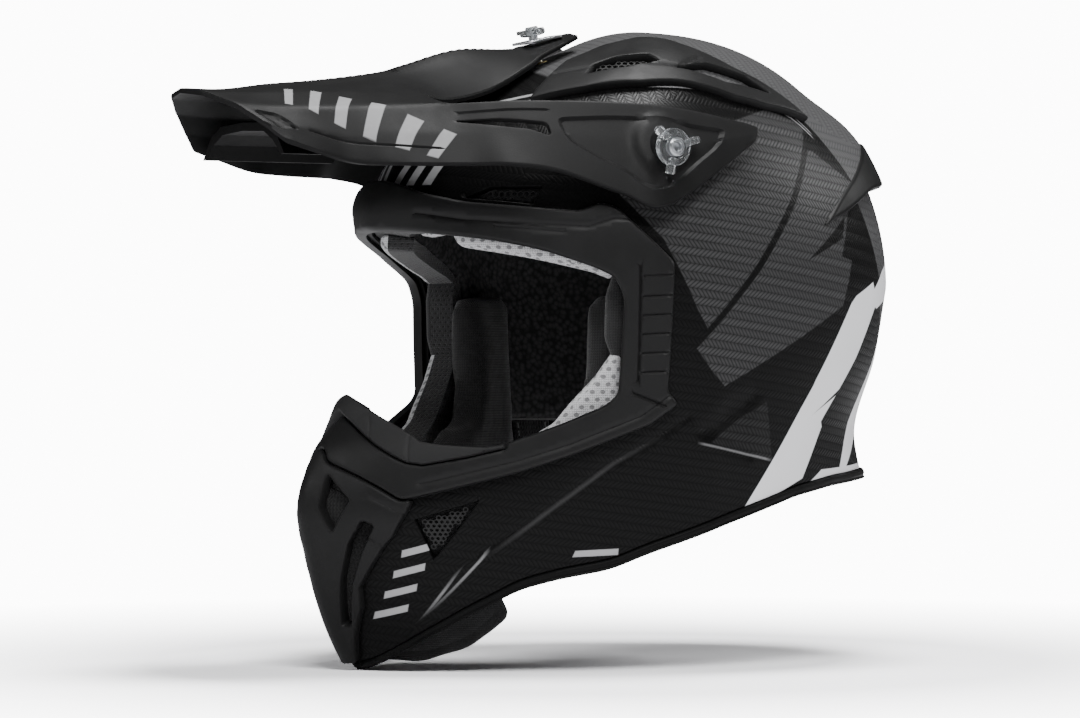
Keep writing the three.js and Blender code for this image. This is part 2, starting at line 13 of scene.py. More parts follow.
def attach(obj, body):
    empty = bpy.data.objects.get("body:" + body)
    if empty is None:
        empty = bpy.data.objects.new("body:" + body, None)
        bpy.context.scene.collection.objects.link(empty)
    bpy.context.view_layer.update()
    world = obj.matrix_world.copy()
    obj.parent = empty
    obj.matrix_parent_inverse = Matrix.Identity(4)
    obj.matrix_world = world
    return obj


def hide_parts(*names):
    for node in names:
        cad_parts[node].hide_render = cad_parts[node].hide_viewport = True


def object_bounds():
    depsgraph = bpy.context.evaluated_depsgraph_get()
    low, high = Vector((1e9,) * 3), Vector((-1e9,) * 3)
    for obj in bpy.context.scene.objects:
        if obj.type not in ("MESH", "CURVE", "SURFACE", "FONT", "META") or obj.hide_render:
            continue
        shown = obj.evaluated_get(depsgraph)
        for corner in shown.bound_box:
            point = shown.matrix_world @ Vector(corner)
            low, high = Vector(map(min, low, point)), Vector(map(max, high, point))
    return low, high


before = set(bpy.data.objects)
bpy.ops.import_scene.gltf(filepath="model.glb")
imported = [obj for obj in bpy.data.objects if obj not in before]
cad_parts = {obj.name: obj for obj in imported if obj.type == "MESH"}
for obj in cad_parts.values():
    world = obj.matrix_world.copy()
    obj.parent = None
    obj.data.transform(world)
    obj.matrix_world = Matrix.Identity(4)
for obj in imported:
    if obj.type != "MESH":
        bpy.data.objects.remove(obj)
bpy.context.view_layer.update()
MM = 0.001

# ---------------------------------------------------------------- outer surface (mm, as in the CAD)
WIDEST_Z = 50.0
LOWEST_Z = -150.0
TOP_RISE = 128.0
HALF_WIDTH = 120.0
AXIS_Y = 4.0
AXIS_Y_TOP = 22.0
FRONT_REACH = 124.0
REAR_REACH = 150.0
POLE_T = WIDEST_Z + TOP_RISE * math.pi / 2
NEAR_POLE = POLE_T - 0.05
MAP_REACH = 400.0


def curve(xs, ys):
    """A smooth curve through the points that never overshoots them."""
    xs = np.array(xs, float)
    ys = np.array(ys, float)
    slope = np.diff(ys) / np.diff(xs)
    tangent = np.zeros(len(xs))
    tangent[0] = slope[0]
    tangent[-1] = slope[-1]
    for i in range(1, len(xs) - 1):
        product = slope[i] * slope[i - 1]
        tangent[i] = 2 * product / (slope[i] + slope[i - 1]) if product > 0 else 0

    def at(x):
        x = np.clip(x, xs[0], xs[-1])
        i = np.clip(np.searchsorted(xs, x, side="right") - 1, 0, len(xs) - 2)
        span = xs[i + 1] - xs[i]
        t = (x - xs[i]) / span
        a = 2 * t**3 - 3 * t**2 + 1
        b = (t**3 - 2 * t**2 + t) * span
        c = -2 * t**3 + 3 * t**2
        d = (t**3 - t**2) * span
        return a * ys[i] + b * tangent[i] + c * ys[i + 1] + d * tangent[i + 1]

    return at


low_width = curve([-150, -95, -60, -20, 20, 50], [92, 101, 106, 113, 118, 120])
low_front = curve([-150, -139, -109, -80, -60, -35, -17, 0, 50], [120, 129, 145, 154, 158, 151, 137, 128, 124])
low_rear = curve([-150, -60, -45, -38, -22, 15, 50], [138, 138, 138, 135, 131, 143, 150])
front_fullness = curve([0, 0.2, 0.44, 0.66, 0.82, 0.875, 0.94, 1], [1, 1.01, 1.02, 0.95, 0.8, 0.66, 0.5, 0.45])
front_power = curve([-150, -35, 0, 50, 120, 178], [1.45, 1.45, 1.52, 1.55, 1.7, 1.8])
rear_power = curve([-150, 50, 178], [2.3, 2.3, 2.0])


def height_of(t):
    """The height of a level: t is the height itself up to the widest level, then arc length over the crown."""
    t = np.asarray(t, float)
    return np.where(t > WIDEST_Z, WIDEST_Z + TOP_RISE * np.sin((t - WIDEST_Z) / TOP_RISE), t)


def level_of(z):
    """The level of a height: the inverse of height_of."""
    z = np.asarray(z, float)
    rise = np.clip((z - WIDEST_Z) / TOP_RISE, 0, 0.99999)
    return np.where(z > WIDEST_Z, WIDEST_Z + TOP_RISE * np.arcsin(rise), z)


def section(t):
    """The level section at t: height, middle, half width, reach to the front and rear, and their powers."""
    t = np.clip(np.asarray(t, float), LOWEST_Z, NEAR_POLE)
    z = height_of(t)
    rise = np.clip((z - WIDEST_Z) / TOP_RISE, 0, 1)
    slope = np.cos(np.clip((t - WIDEST_Z) / TOP_RISE, 0, math.pi / 2))
    above = t > WIDEST_Z
    low = np.minimum(z, WIDEST_Z)
    middle = AXIS_Y + (AXIS_Y_TOP - AXIS_Y) * (1 - slope)
    width = np.where(above, HALF_WIDTH * slope**0.97, low_width(low))
    front = np.where(above, (FRONT_REACH + AXIS_Y) * slope * front_fullness(rise), low_front(low) + AXIS_Y)
    rear = np.where(above, (REAR_REACH - AXIS_Y) * slope**0.82, low_rear(low) - AXIS_Y)
    return z, middle, width, front, rear, front_power(z), rear_power(z)


def point_at(angle, t):
    z, middle, width, front, rear, power_front, power_rear = section(t)
    c = np.cos(angle)
    s = np.abs(np.sin(angle))
    reach = np.where(c > 0, front, rear)
    power = np.where(c > 0, power_front, power_rear)
    r = ((np.abs(c) / reach) ** power + (s / width) ** power) ** (-1 / power)
    return np.stack([r * np.sin(angle), middle - r * c, z], -1)


def normal_at(angle, t):
    t = np.minimum(t, POLE_T - 3)
    along = point_at(angle + 0.02, t) - point_at(angle - 0.02, t)
    up = point_at(angle, t + 0.5) - point_at(angle, t - 0.5)
    out = np.cross(along, up)
    return out / np.linalg.norm(out, axis=-1, keepdims=True)


# A flat map of the surface that keeps small shapes. The crown's pole is its origin; the face looks along -V.
_levels = np.linspace(LOWEST_Z, NEAR_POLE, 1600)
_cut = section(_levels)
_radius = (_cut[2] + (_cut[3] + _cut[4]) / 2) / 2
_spread = np.concatenate([[0], np.cumsum(np.diff(_levels) * 2 / (_radius[1:] + _radius[:-1]))])
_map_radius = MAP_REACH * np.exp(-_spread)


def to_map(angle, t):
    r = np.interp(t, _levels, _map_radius)
    return np.stack([r * np.sin(angle), -r * np.cos(angle)], -1)


def from_map(uv):
    r = np.hypot(uv[:, 0], uv[:, 1])
    return np.arctan2(uv[:, 0], -uv[:, 1]), np.interp(r, _map_radius[::-1], _levels[::-1])


def map_scale(t):
    return np.interp(t, _levels, _map_radius / _radius)


# ---------------------------------------------------------------- outlines to loops of (angle, level)
def dense(points, step=1.6, closed=True):
    """The outline with points at most `step` apart."""
    points = [np.array(p, float) for p in points]
    if closed:
        points = points + [points[0]]
    out = []
    for a, b in zip(points, points[1:]):
        count = max(1, int(np.ceil(np.linalg.norm(b - a) / step)))
        out += [a + (b - a) * k / count for k in range(count)]
    if not closed:
        out.append(points[-1])
    return np.array(out)


def rounded(points, radius, closed=True):
    """The outline with each corner turned into a short arc."""
    points = [np.array(p, float) for p in points]
    n = len(points)
    out = []
    for i, p in enumerate(points):
        if not closed and i in (0, n - 1):
            out.append(p)
            continue
        a, b = points[i - 1], points[(i + 1) % n]
        la, lb = np.linalg.norm(a - p), np.linalg.norm(b - p)
        cut = min(radius, la * 0.42, lb * 0.42)
        start = p + (a - p) / la * cut
        end = p + (b - p) / lb * cut
        for k in range(6):
            s = k / 5
            out.append((1 - s) ** 2 * start + 2 * s * (1 - s) * p + s**2 * end)
    return out


def side_share(line):
    """How far along the half length of its level each side-view point lies; 1 is the middle of the face or nape.
    Also the length ahead of the middle, the width, the power and the level."""
    t = level_of(line[:, 1])
    _, middle, width, front_reach, rear_reach, power_front, power_rear = section(t)
    ahead = middle - line[:, 0]
    reach = np.where(ahead > 0, front_reach, rear_reach)
    power = np.where(ahead > 0, power_front, power_rear)
    return np.abs(ahead) / reach, ahead, width, power, t


def side(points, step=1.6, closed=True):
    """Side-view points (y, z) laid on the left side of the surface. An open line stops at the middle plane."""
    line = dense(points, step, closed)
    if not closed:
        share = side_share(line)[0]
        kept = []
        for i, point in enumerate(line):
            if share[i] < 1:
                kept.append(point)
            if i + 1 == len(line) or (share[i] < 1) == (share[i + 1] < 1):
                continue
            a, b = (line[i], line[i + 1]) if share[i] < 1 else (line[i + 1], line[i])
            low, high = 0.0, 1.0
            for _ in range(40):
                mid = (low + high) / 2
                if side_share((a + (b - a) * mid)[None])[0][0] < 1:
                    low = mid
                else:
                    high = mid
            steps = (0.5, 0.8, 0.95, 1.0) if share[i] < 1 else (1.0, 0.95, 0.8, 0.5)
            kept += [a + (b - a) * low * k for k in steps]
        line = np.array(kept)
    share, ahead, width, power, t = side_share(line)
    x = width * np.clip(1 - np.minimum(share, 1) ** power, 0, 1) ** (1 / power)
    x[share > 1 - 1e-7] = 0
    return np.stack([np.arctan2(x, ahead), t], -1)


def side_below(points, offset, step=1.6):
    """A closed side-view outline given for a layer at `offset` from the surface, carried out to the surface."""
    target = dense(points, step)
    guess = target
    for _ in range(8):
        share, ahead, width, power, t = side_share(guess)
        x = width * np.clip(1 - np.minimum(share, 0.9999) ** power, 0, 1) ** (1 / power)
        loop = np.stack([np.arctan2(x, ahead), t], -1)
        guess = target - offset * normal_at(loop[:, 0], loop[:, 1])[:, 1:]
    return loop


def mirror_line(loop):
    other = loop[::-1].copy()
    other[:, 0] *= -1
    return other


def closed_by_mirror(half):
    """A line that starts and ends on the middle plane, joined to its mirror image."""
    return np.concatenate([half, mirror_line(half)[1:-1]])


def side_half(points, radius, step):
    """An open side-view line with rounded corners that starts and ends on the middle plane."""
    return side(rounded(points, radius, closed=False), step, closed=False)


def side_ring(points, radius, step):
    return closed_by_mirror(side_half(points, radius, step))


def handed(loop, sign):
    """A loop of the left side, or for sign -1 its mirror image."""
    return loop if sign > 0 else mirror_line(loop)


def both(loops):
    return loops + [mirror_line(loop) for loop in loops]


def both_halves(half):
    """A front-view line that starts on the middle plane, with its mirror image before it."""
    return [(-x, z) for x, z in reversed(half[1:])] + half


def front(points, step=1.6, closed=True):
    """Front-view points (x, z) laid on the face."""
    line = dense(points, step, closed)
    t = level_of(line[:, 1])
    _, _, width, reach, _, power, _ = section(t)
    ahead = reach * np.clip(1 - (np.abs(line[:, 0]) / width) ** power, 0, 1) ** (1 / power)
    return np.stack([np.arctan2(line[:, 0], ahead), t], -1)


def top(points, step=1.6, closed=True):
    """Top-view points (x, y) laid on the crown."""
    line = dense(points, step, closed)
    low = np.full(len(line), WIDEST_Z)
    high = np.full(len(line), POLE_T - 0.1)
    for _ in range(40):
        t = (low + high) / 2
        _, middle, width, reach_front, reach_rear, power_front, power_rear = section(t)
        ahead = middle - line[:, 1]
        reach = np.where(ahead > 0, reach_front, reach_rear)
        power = np.where(ahead > 0, power_front, power_rear)
        outside = (np.abs(line[:, 0]) / width) ** power + (np.abs(ahead) / reach) ** power > 1
        high = np.where(outside, t, high)
        low = np.where(outside, low, t)
    return np.stack([np.arctan2(line[:, 0], ahead), t], -1)


def grown(points, distance):
    """An anticlockwise outline moved out by a distance."""
    out = []
    n = len(points)
    for i in range(n):
        (px, py), (ax, ay), (bx, by) = points[i], points[i - 1], points[(i + 1) % n]
        na = np.array([py - ay, ax - px], float)
        nb = np.array([by - py, px - bx], float)
        na /= np.linalg.norm(na)
        nb /= np.linalg.norm(nb)
        stretch = distance / max(1 + na @ nb, 0.3)
        out.append((px + (na + nb)[0] * stretch, py + (na + nb)[1] * stretch))
    return out


def inside(points, polygon):
    """Which flat points lie inside a polygon."""
    x, y = points[:, 0], points[:, 1]
    hit = np.zeros(len(points), bool)
    ax, ay = polygon[:, 0], polygon[:, 1]
    bx, by = np.roll(ax, -1), np.roll(ay, -1)
    for i in range(len(polygon)):
        if ay[i] == by[i]:
            continue
        crosses = (ay[i] > y) != (by[i] > y)
        hit ^= crosses & (x < (bx[i] - ax[i]) * (y - ay[i]) / (by[i] - ay[i]) + ax[i])
    return hit


class Line:
    """A chain of 3-D points that distances are measured to."""

    def __init__(self, points, closed=True):
        self.points = points
        self.closed = closed
        self.tree = kdtree.KDTree(len(points))
        for i, p in enumerate(points):
            self.tree.insert(p, i)
        self.tree.balance()

    def distance(self, points):
        n = len(self.points)
        near = np.array([self.tree.find(p)[1] for p in points])
        best = np.full(len(points), 1e9)
        for step in (-1, 0):
            if self.closed:
                i, j = (near + step) % n, (near + step + 1) % n
            else:
                i = np.clip(near + step, 0, n - 2)
                j = i + 1
            a, b = self.points[i], self.points[j]
            ab = b - a
            s = np.clip(np.sum((points - a) * ab, -1) / np.maximum(np.sum(ab * ab, -1), 1e-12), 0, 1)
            best = np.minimum(best, np.linalg.norm(points - a - ab * s[:, None], axis=-1))
        return best


def ease(x):
    x = np.clip(x, 0, 1)
    return x * x * (3 - 2 * x)


def mesh_object(name, points, faces, materials, slots=None, sharp=38, uvs=None):
    mesh = bpy.data.meshes.new(name)
    mesh.from_pydata([tuple(p) for p in np.asarray(points) * MM], [], faces)
    for material in materials:
        mesh.materials.append(material)
    if slots is not None:
        mesh.polygons.foreach_set("material_index", np.array(slots, np.int32))
    obj = bpy.data.objects.new(name, mesh)
    bpy.context.scene.collection.objects.link(obj)
    smooth_by_angle(obj, sharp)
    return obj


def smooth_by_angle(obj, sharp=38):
    mesh = obj.data
    mesh.polygons.foreach_set("use_smooth", np.ones(len(mesh.polygons), bool))
    mesh.set_sharp_from_angle(angle=math.radians(sharp))


class Helmet:
    """The helmet's outer surface, as patch() uses it."""

    point = staticmethod(point_at)
    normal = staticmethod(normal_at)
    to_map = staticmethod(to_map)
    from_map = staticmethod(from_map)
    scale = staticmethod(map_scale)

    @staticmethod
    def grid(low, high, spacing):
        rows = []
        for row, t in enumerate(np.arange(low, high, spacing * 0.87)):
            count = max(5, int(2 * math.pi * float(np.interp(t, _levels, _radius)) / spacing))
            angle = (np.arange(count) + 0.5 * (row % 2)) / count * 2 * math.pi - math.pi
            rows.append(to_map(angle, np.full(count, t)))
        return np.concatenate(rows)


def patch(name, loops, low, high, materials, radius=1.2, spacing=3.0, grooves=(), raised=(), relief=None,
          wall_slot=0, under_slot=0, face_slot=None, ring_at=(0.35, 0.75), sharp=38, on=Helmet, under=None):
    """A closed piece lying on a surface: the area between loops, from `low` to `high` above it.
    Its `high` edge is rounded. If high is below low, the piece faces inwards.
    grooves are (line, half width, depth) and raised are (loop, height, ramp). relief and under are functions of
    the surface that add to high and low."""
    point_at, normal_at, to_map, from_map, map_scale = on.point, on.normal, on.to_map, on.from_map, on.scale
    facing = 1 if high > low else -1
    maps = []
    uv = []
    edges = []
    lines = []

    def add_line(loop, closed=True):
        start = sum(len(u) for u in uv)
        uv.append(to_map(loop[:, 0], loop[:, 1]))
        n = len(loop)
        edges.extend((start + i, start + (i + 1) % n) for i in range(n if closed else n - 1))

    for loop in loops:
        add_line(loop)
        maps.append(uv[-1])
        lines.append(Line(point_at(loop[:, 0], loop[:, 1])))

    def in_region(points):
        hit = np.zeros(len(points), bool)
        for polygon in maps:
            hit ^= inside(points, polygon)
        return hit

    def edge_distance(places):
        return np.min([line.distance(places) for line in lines], 0)

    def offset_rings(loop, closed, distances):
        flat = to_map(loop[:, 0], loop[:, 1])
        if closed:
            direction = np.roll(flat, -1, 0) - np.roll(flat, 1, 0)
        else:
            direction = np.gradient(flat, axis=0)
        direction /= np.maximum(np.linalg.norm(direction, axis=-1, keepdims=True), 1e-9)
        out = np.stack([direction[:, 1], -direction[:, 0]], -1) * map_scale(loop[:, 1])[:, None]
        return [flat + out * d * sign for d in distances for sign in (1, -1)]

    extra = []
    rings = [radius * k for k in ring_at] + [radius * 1.05]
    for loop in loops:
        extra += offset_rings(loop, True, rings)
    reserved = []
    for line, half, _ in grooves:
        add_line(line, closed=False)
        reserved.append((Line(point_at(line[:, 0], line[:, 1]), closed=False), half))
        extra += offset_rings(line, False, (half,))
    for loop, _, ramp in raised:
        add_line(loop)
        reserved.append((Line(point_at(loop[:, 0], loop[:, 1])), ramp))
        extra += offset_rings(loop, True, (ramp,))
    all_uv = np.concatenate(maps)
    t_low, t_high = from_map(all_uv)[1].min(), from_map(all_uv)[1].max()
    if on is Helmet and in_region(np.array([[0.01, 0.01]]))[0]:
        t_high = POLE_T - 1
    grid = on.grid(t_low, t_high, spacing)
    extra = np.concatenate(extra)

    def places_of(points):
        return point_at(*from_map(points))

    extra = extra[in_region(extra)]
    extra_places = places_of(extra)
    keep = edge_distance(extra_places) > min(rings) * 0.8
    extra = extra[keep]
    grid = grid[in_region(grid)]
    grid_places = places_of(grid)
    keep = edge_distance(grid_places) > radius * 1.05 + spacing * 0.45
    for line, half in reserved:
        keep &= line.distance(grid_places) > half + spacing * 0.3
    grid = grid[keep]
    everything = np.concatenate(uv + [extra, grid])
    result = delaunay_2d_cdt([Vector(p) for p in everything], edges, [], 0, 1e-4)
    flat = np.array([tuple(v) for v in result[0]])
    triangles = np.array([tuple(f) for f in result[2]])
    centres = flat[triangles].mean(1)
    triangles = triangles[in_region(centres)]
    used = np.unique(triangles)
    renumber = np.full(len(flat), -1)
    renumber[used] = np.arange(len(used))
    flat = flat[used]
    triangles = renumber[triangles]
    a, b, c = (flat[triangles[:, k]] for k in range(3))
    area = (b - a)[:, 0] * (c - a)[:, 1] - (b - a)[:, 1] * (c - a)[:, 0]
    triangles[area < 0] = triangles[area < 0][:, ::-1]
    angle, t = from_map(flat)
    base = point_at(angle, t)
    out = normal_at(angle, t)
    d = edge_distance(base)
    rim = np.clip(d / radius, 0, 1) if radius > 0 else np.ones(len(d))
    level = -radius * (1 - np.sqrt(np.maximum(1 - (1 - rim) ** 2, 0)))
    for (line, half), (_, _, depth) in zip(reserved, grooves):
        level = level - depth * (1 - ease(line.distance(base) / half))
    for (line, _), (loop, lift, ramp) in zip(reserved[len(grooves):], raised):
        within = inside(flat, to_map(loop[:, 0], loop[:, 1]))
        level = level + lift * np.where(within, ease(line.distance(base) / ramp), 0)
    if relief is not None:
        level = level + relief(base, out, d)
    upper = base + out * (high + facing * level)[:, None]
    sink = under(base, out) if under else np.zeros(len(base))
    lower = base + out * (low + sink)[:, None]
    n = len(flat)
    directed = dict.fromkeys((tri[i], tri[(i + 1) % 3]) for tri in triangles for i in range(3))
    walls = [(i, j) for i, j in directed if (j, i) not in directed]
    faces = [tuple(map(int, tri)) for tri in triangles]
    slots = [0] * len(faces)
    if face_slot is not None:
        slots = list(face_slot(base[triangles].mean(1)))
    faces += [(int(j), int(i), int(i) + n, int(j) + n) for i, j in walls]
    for i, j in walls:
        slots.append(wall_slot((base[i] + base[j]) / 2) if callable(wall_slot) else wall_slot)
    faces += [(int(tri[2]) + n, int(tri[1]) + n, int(tri[0]) + n) for tri in triangles]
    slots += [under_slot] * len(triangles)
    if facing < 0:
        faces = [face[::-1] for face in faces]
    return mesh_object(name, np.concatenate([upper, lower]), faces, materials, slots, sharp)


# ---------------------------------------------------------------- outlines (as in the CAD)
PORT = [(-44, -3), (-43, 44), (-47, 53), (-54, 57), (-75, 66), (-93, 71), (-120, 76), (-190, 77),
        (-190, -7), (-134, -7), (-130, -18), (-126, -25), (-115, -28), (-94, -29), (-69, -18), (-49, -8)]
FRAME = [(-23, -1), (-22, 60), (-45, 86), (-51, 88), (-60, 84), (-78, 86), (-98, 88), (-109, 92), (-116, 99),
         (-190, 104), (-190, -22), (-147, -22), (-150, -37), (-129, -54), (-84, -40), (-63, -32), (-30, -17),
         (-18, -7)]
NOSE_TOP = [(0, -7), (27, -18), (40, -25)]
NOSE_LOWER = [(0, -15), (26, -29), (40, -36), (46, -37), (60, -33), (70, -29)]
MOUTHPIECE = [(0, -24), (17, -37), (44, -54), (43, -58), (37, -70), (33, -75), (20, -95), (18, -105), (4, -131)]
MOUTH_VENT_TOP = [(10, -43), (22, -54), (14, -68), (9, -57)]
MOUTH_VENT_LOW = [(31, -65), (24, -78), (17, -94), (11, -113), (7, -113), (13, -92), (20, -74), (27, -63)]
MOUTH_HOLE = [(0, -42), (33, -60), (24, -80), (15, -108), (0, -118)]
MOUTH_RING = both_halves(MOUTH_HOLE)[1:]
CHIN_VENT = [(-101, -54), (-124, -63), (-116, -81)]
EDGE = [(-190, -136), (-133, -134), (-116, -116.5), (-102, -105), (-81, -91), (-65, -86), (-43, -81.5),
        (-26, -74), (14, -60), (54, -47.5), (80, -43), (106, -41), (190, -38.5)]
CROWN_COVER = [(46, -62), (61, -40), (74, -16), (82, 10), (86, 28), (86, 46), (81, 74),
               (77, 62), (68, 38), (53, 18), (38, 4), (31, -12), (33, -34)]
CROWN_VENT = [(54, -34), (63, -17), (66, -2), (60, -4), (52, -17), (50, -28)]
REAR_SCOOP = [(72, 4), (79, 27), (79, 52), (73, 42), (69, 22)]
FIN_LOWER = [(66, 78), (86, 86), (107, 96), (190, 104)]
FIN_UPPER = [(66.5, 79), (81, 93), (95, 103), (116, 119), (190, 126)]
BROW_VENT = [(-98, 91.5), (-77, 88.5), (-73, 96), (-90, 96)]


# ---------------------------------------------------------------- materials
class Look:
    """One Principled material and short calls for adding nodes to it."""

    def __init__(self, name, roughness=0.5, metallic=0.0, specular=0.5, **uniform):
        self.material = bpy.data.materials.new(name)
        self.material.use_nodes = True
        self.tree = self.material.node_tree
        self.shader = self.tree.nodes["Principled BSDF"]
        self.shader.inputs["Roughness"].default_value = roughness
        self.shader.inputs["Metallic"].default_value = metallic
        self.shader.inputs["Specular IOR Level"].default_value = specular
        for key, value in uniform.items():
            self.shader.inputs[key.replace("_", " ")].default_value = value
        coordinates = self.tree.nodes.new("ShaderNodeTexCoord")
        scale = self.node("ShaderNodeVectorMath", operation="SCALE")
        scale.inputs["Scale"].default_value = 1000
        self.tree.links.new(coordinates.outputs["Object"], scale.inputs[0])
        self.place = scale.outputs[0]
        split = self.node("ShaderNodeSeparateXYZ", self.place)
        self.x, self.y, self.z = split.outputs
        folded = self.node("ShaderNodeCombineXYZ", self.abs(self.x), self.y, self.z)
        self.folded = folded.outputs[0]
        self.flat = None

    def node(self, kind, *inputs, **settings):
        made = self.tree.nodes.new(kind)
        for key, value in settings.items():
            setattr(made, key, value)
        for i, value in enumerate(inputs):
            if value is None:
                continue
            if isinstance(value, (int, float, tuple)):
                made.inputs[i].default_value = value
            else:
                self.tree.links.new(value, made.inputs[i])
        return made

    def math(self, operation, *inputs):
        return self.node("ShaderNodeMath", *inputs, operation=operation).outputs[0]

    add = partialmethod(math, "ADD")
    sub = partialmethod(math, "SUBTRACT")
    mul = partialmethod(math, "MULTIPLY")
    div = partialmethod(math, "DIVIDE")
    abs = partialmethod(math, "ABSOLUTE")
    min = partialmethod(math, "MINIMUM")
    max = partialmethod(math, "MAXIMUM")
    sine = partialmethod(math, "SINE")
    floor = partialmethod(math, "FLOOR")
    fract = partialmethod(math, "FRACT")

    def step(self, value, low, high):
        """Rises from 0 at low to 1 at high."""
        made = self.node("ShaderNodeMapRange", value, low, high, 0.0, 1.0)
        made.clamp = True
        return made.outputs[0]

    def mix(self, share, a, b):
        made = self.tree.nodes.new("ShaderNodeMix")
        made.data_type = "RGBA"
        for socket, value in ((made.inputs[0], share), (made.inputs[6], a), (made.inputs[7], b)):
            if isinstance(value, (int, float)):
                socket.default_value = value
            elif isinstance(value, tuple):
                socket.default_value = value if len(value) == 4 else (*value, 1)
            else:
                self.tree.links.new(value, socket)
        return made.outputs[2]

    def noise(self, scale, detail=2.0, where=None):
        made = self.tree.nodes.new("ShaderNodeTexNoise")
        made.inputs["Scale"].default_value = scale
        made.inputs["Detail"].default_value = detail
        self.tree.links.new(where or self.place, made.inputs["Vector"])
        return made.outputs["Fac"]

    def flat_place(self):
        """Two coordinates in mm on whichever of the three flat views the surface faces most."""
        if self.flat is None:
            geometry = self.node("ShaderNodeNewGeometry")
            parts = self.node("ShaderNodeSeparateXYZ", geometry.outputs["True Normal"]).outputs
            nx, ny, nz = (self.abs(part) for part in parts)
            facing_side = self.mul(self.math("GREATER_THAN", nx, ny), self.math("GREATER_THAN", nx, nz))
            facing_up = self.math("GREATER_THAN", nz, self.max(nx, ny))
            a = self.add(self.mul(facing_side, self.y), self.mul(self.sub(1.0, facing_side), self.x))
            b = self.add(self.mul(facing_up, self.y), self.mul(self.sub(1.0, facing_up), self.z))
            self.flat = (a, b)
        return self.flat

    def color(self, value):
        self.link(value, "Base Color")

    def link(self, value, socket):
        if isinstance(value, tuple):
            self.shader.inputs[socket].default_value = value if len(value) == 4 else (*value, 1)
        else:
            self.tree.links.new(value, self.shader.inputs[socket])

    def bump(self, height, strength=0.4, distance=0.0004):
        made = self.tree.nodes.new("ShaderNodeBump")
        made.inputs["Strength"].default_value = strength
        made.inputs["Distance"].default_value = distance
        self.tree.links.new(height, made.inputs["Height"])
        self.tree.links.new(made.outputs[0], self.shader.inputs["Normal"])

    def edges(self, points, plane="side"):
        """Signed distances in mm from each edge of an anticlockwise outline; positive is inside.
        The plane is "side" (y, z), "top" (|x|, y) or "front" (|x|, z)."""
        distances = []
        for (ay, az), (by, bz) in zip(points, points[1:] + points[:1]):
            length = math.hypot(by - ay, bz - az)
            u, v = -(bz - az) / length, (by - ay) / length
            normal = {"side": (0.0, u, v), "top": (u, v, 0.0), "front": (u, 0.0, v)}[plane]
            dot = self.node("ShaderNodeVectorMath", self.folded, normal, operation="DOT_PRODUCT")
            distances.append(self.sub(dot.outputs["Value"], u * ay + v * az))
        return distances

    def common(self, distances):
        best = distances[0]
        for other in distances[1:]:
            best = self.min(best, other)
        return best

    def polygon(self, points, plane="side"):
        """Distance in mm inside a convex anticlockwise outline; negative outside."""
        return self.common(self.edges(points, plane))

    def union(self, *distances):
        best = distances[0]
        for other in distances[1:]:
            best = self.max(best, other)
        return best

    def mask(self, distance, soft=0.2):
        """1 where the distance is positive, with an edge that is `soft` mm wide on each side."""
        return self.step(distance, -soft, soft)


def grey(value):
    return (value, value, value * 1.02)


def moulded(name, tone, roughness=0.55, grain=1.2, specular=0.5, bump=0.2, tint=None):
    """Matte moulded plastic: fine spark grain, faint cloudiness and handling marks."""
    look = Look(name, roughness, specular=specular)
    base = tint or grey(tone)
    cloud = look.step(look.noise(0.02, 3), 0.35, 0.65)
    fleck = look.step(look.noise(grain * 1.5, 1), 0.3, 0.7)
    shade = look.mix(cloud, tuple(c * 0.88 for c in base), tuple(c * 1.12 for c in base))
    look.color(look.mix(look.mul(fleck, 0.25), shade, tuple(c * 1.35 for c in base)))
    wear = look.step(look.noise(0.08, 4), 0.45, 0.75)
    look.link(look.add(roughness - 0.03, look.mul(wear, 0.09)), "Roughness")
    look.bump(look.noise(grain, 2), bump, 0.0002)
    return look.material


def herringbone(look, column=3.8, pitch=2.1):
    """Height and tone of a woven cloth whose strands lean left and right in alternate columns."""
    a, b = look.flat_place()
    a, b = look.add(look.mul(b, 0.99), look.mul(a, 0.14)), look.add(look.mul(a, 0.99), look.mul(b, -0.14))
    across_columns = look.div(a, column)
    index = look.floor(across_columns)
    inside_column = look.sub(across_columns, index)
    lean = look.sub(look.mul(look.math("PINGPONG", index, 1.0), 2.0), 1.0)
    climb = look.mul(look.mul(lean, inside_column), 1.5)
    strand = look.add(look.div(b, pitch), climb)
    strand = look.add(strand, look.mul(index, 0.37))
    along = look.fract(strand)
    rib = look.sine(look.mul(along, math.pi))
    side_rib = look.sine(look.mul(inside_column, math.pi))
    height = look.mul(look.math("POWER", rib, 0.6), look.math("POWER", side_rib, 0.35))
    return height, lean


def shell_panels(look):
    """Masks of the two grey panels and of the faint one low on the side."""
    one = look.edges([(-6, 28), (21, 59), (46, 91), (67, 122), (71, 129), (48, 136), (15, 127), (-52, 108),
                      (-42, 91)])
    concave = look.union(look.edges([(-42, 91), (-26, 71)])[0], look.edges([(-26, 71), (-6, 28)])[0])
    one = look.min(look.common(one[:-1]), concave)
    border = look.edges([(-5, 30), (21, 59), (46, 91), (67, 122)])[:3]
    behind = look.union(*[look.mul(edge, -1.0) for edge in border])
    body = look.polygon([(-14, 24), (-2, 8), (5, 1), (79, 40), (90, 75), (96, 99), (70, 116), (40, 116)])
    spike = look.union(look.polygon([(54, 62), (80, 73), (84, 84)]),
                       look.polygon([(78, 64), (96, 60), (104, 100), (90, 92)]))
    two = look.common([body, look.sub(behind, 3.4), look.mul(spike, -1.0)])
    faint = look.polygon([(-3, -25), (37, -36), (30, -4), (6, -20)])
    return look.mask(look.union(one, two), 0.25), look.mask(faint, 0.25)


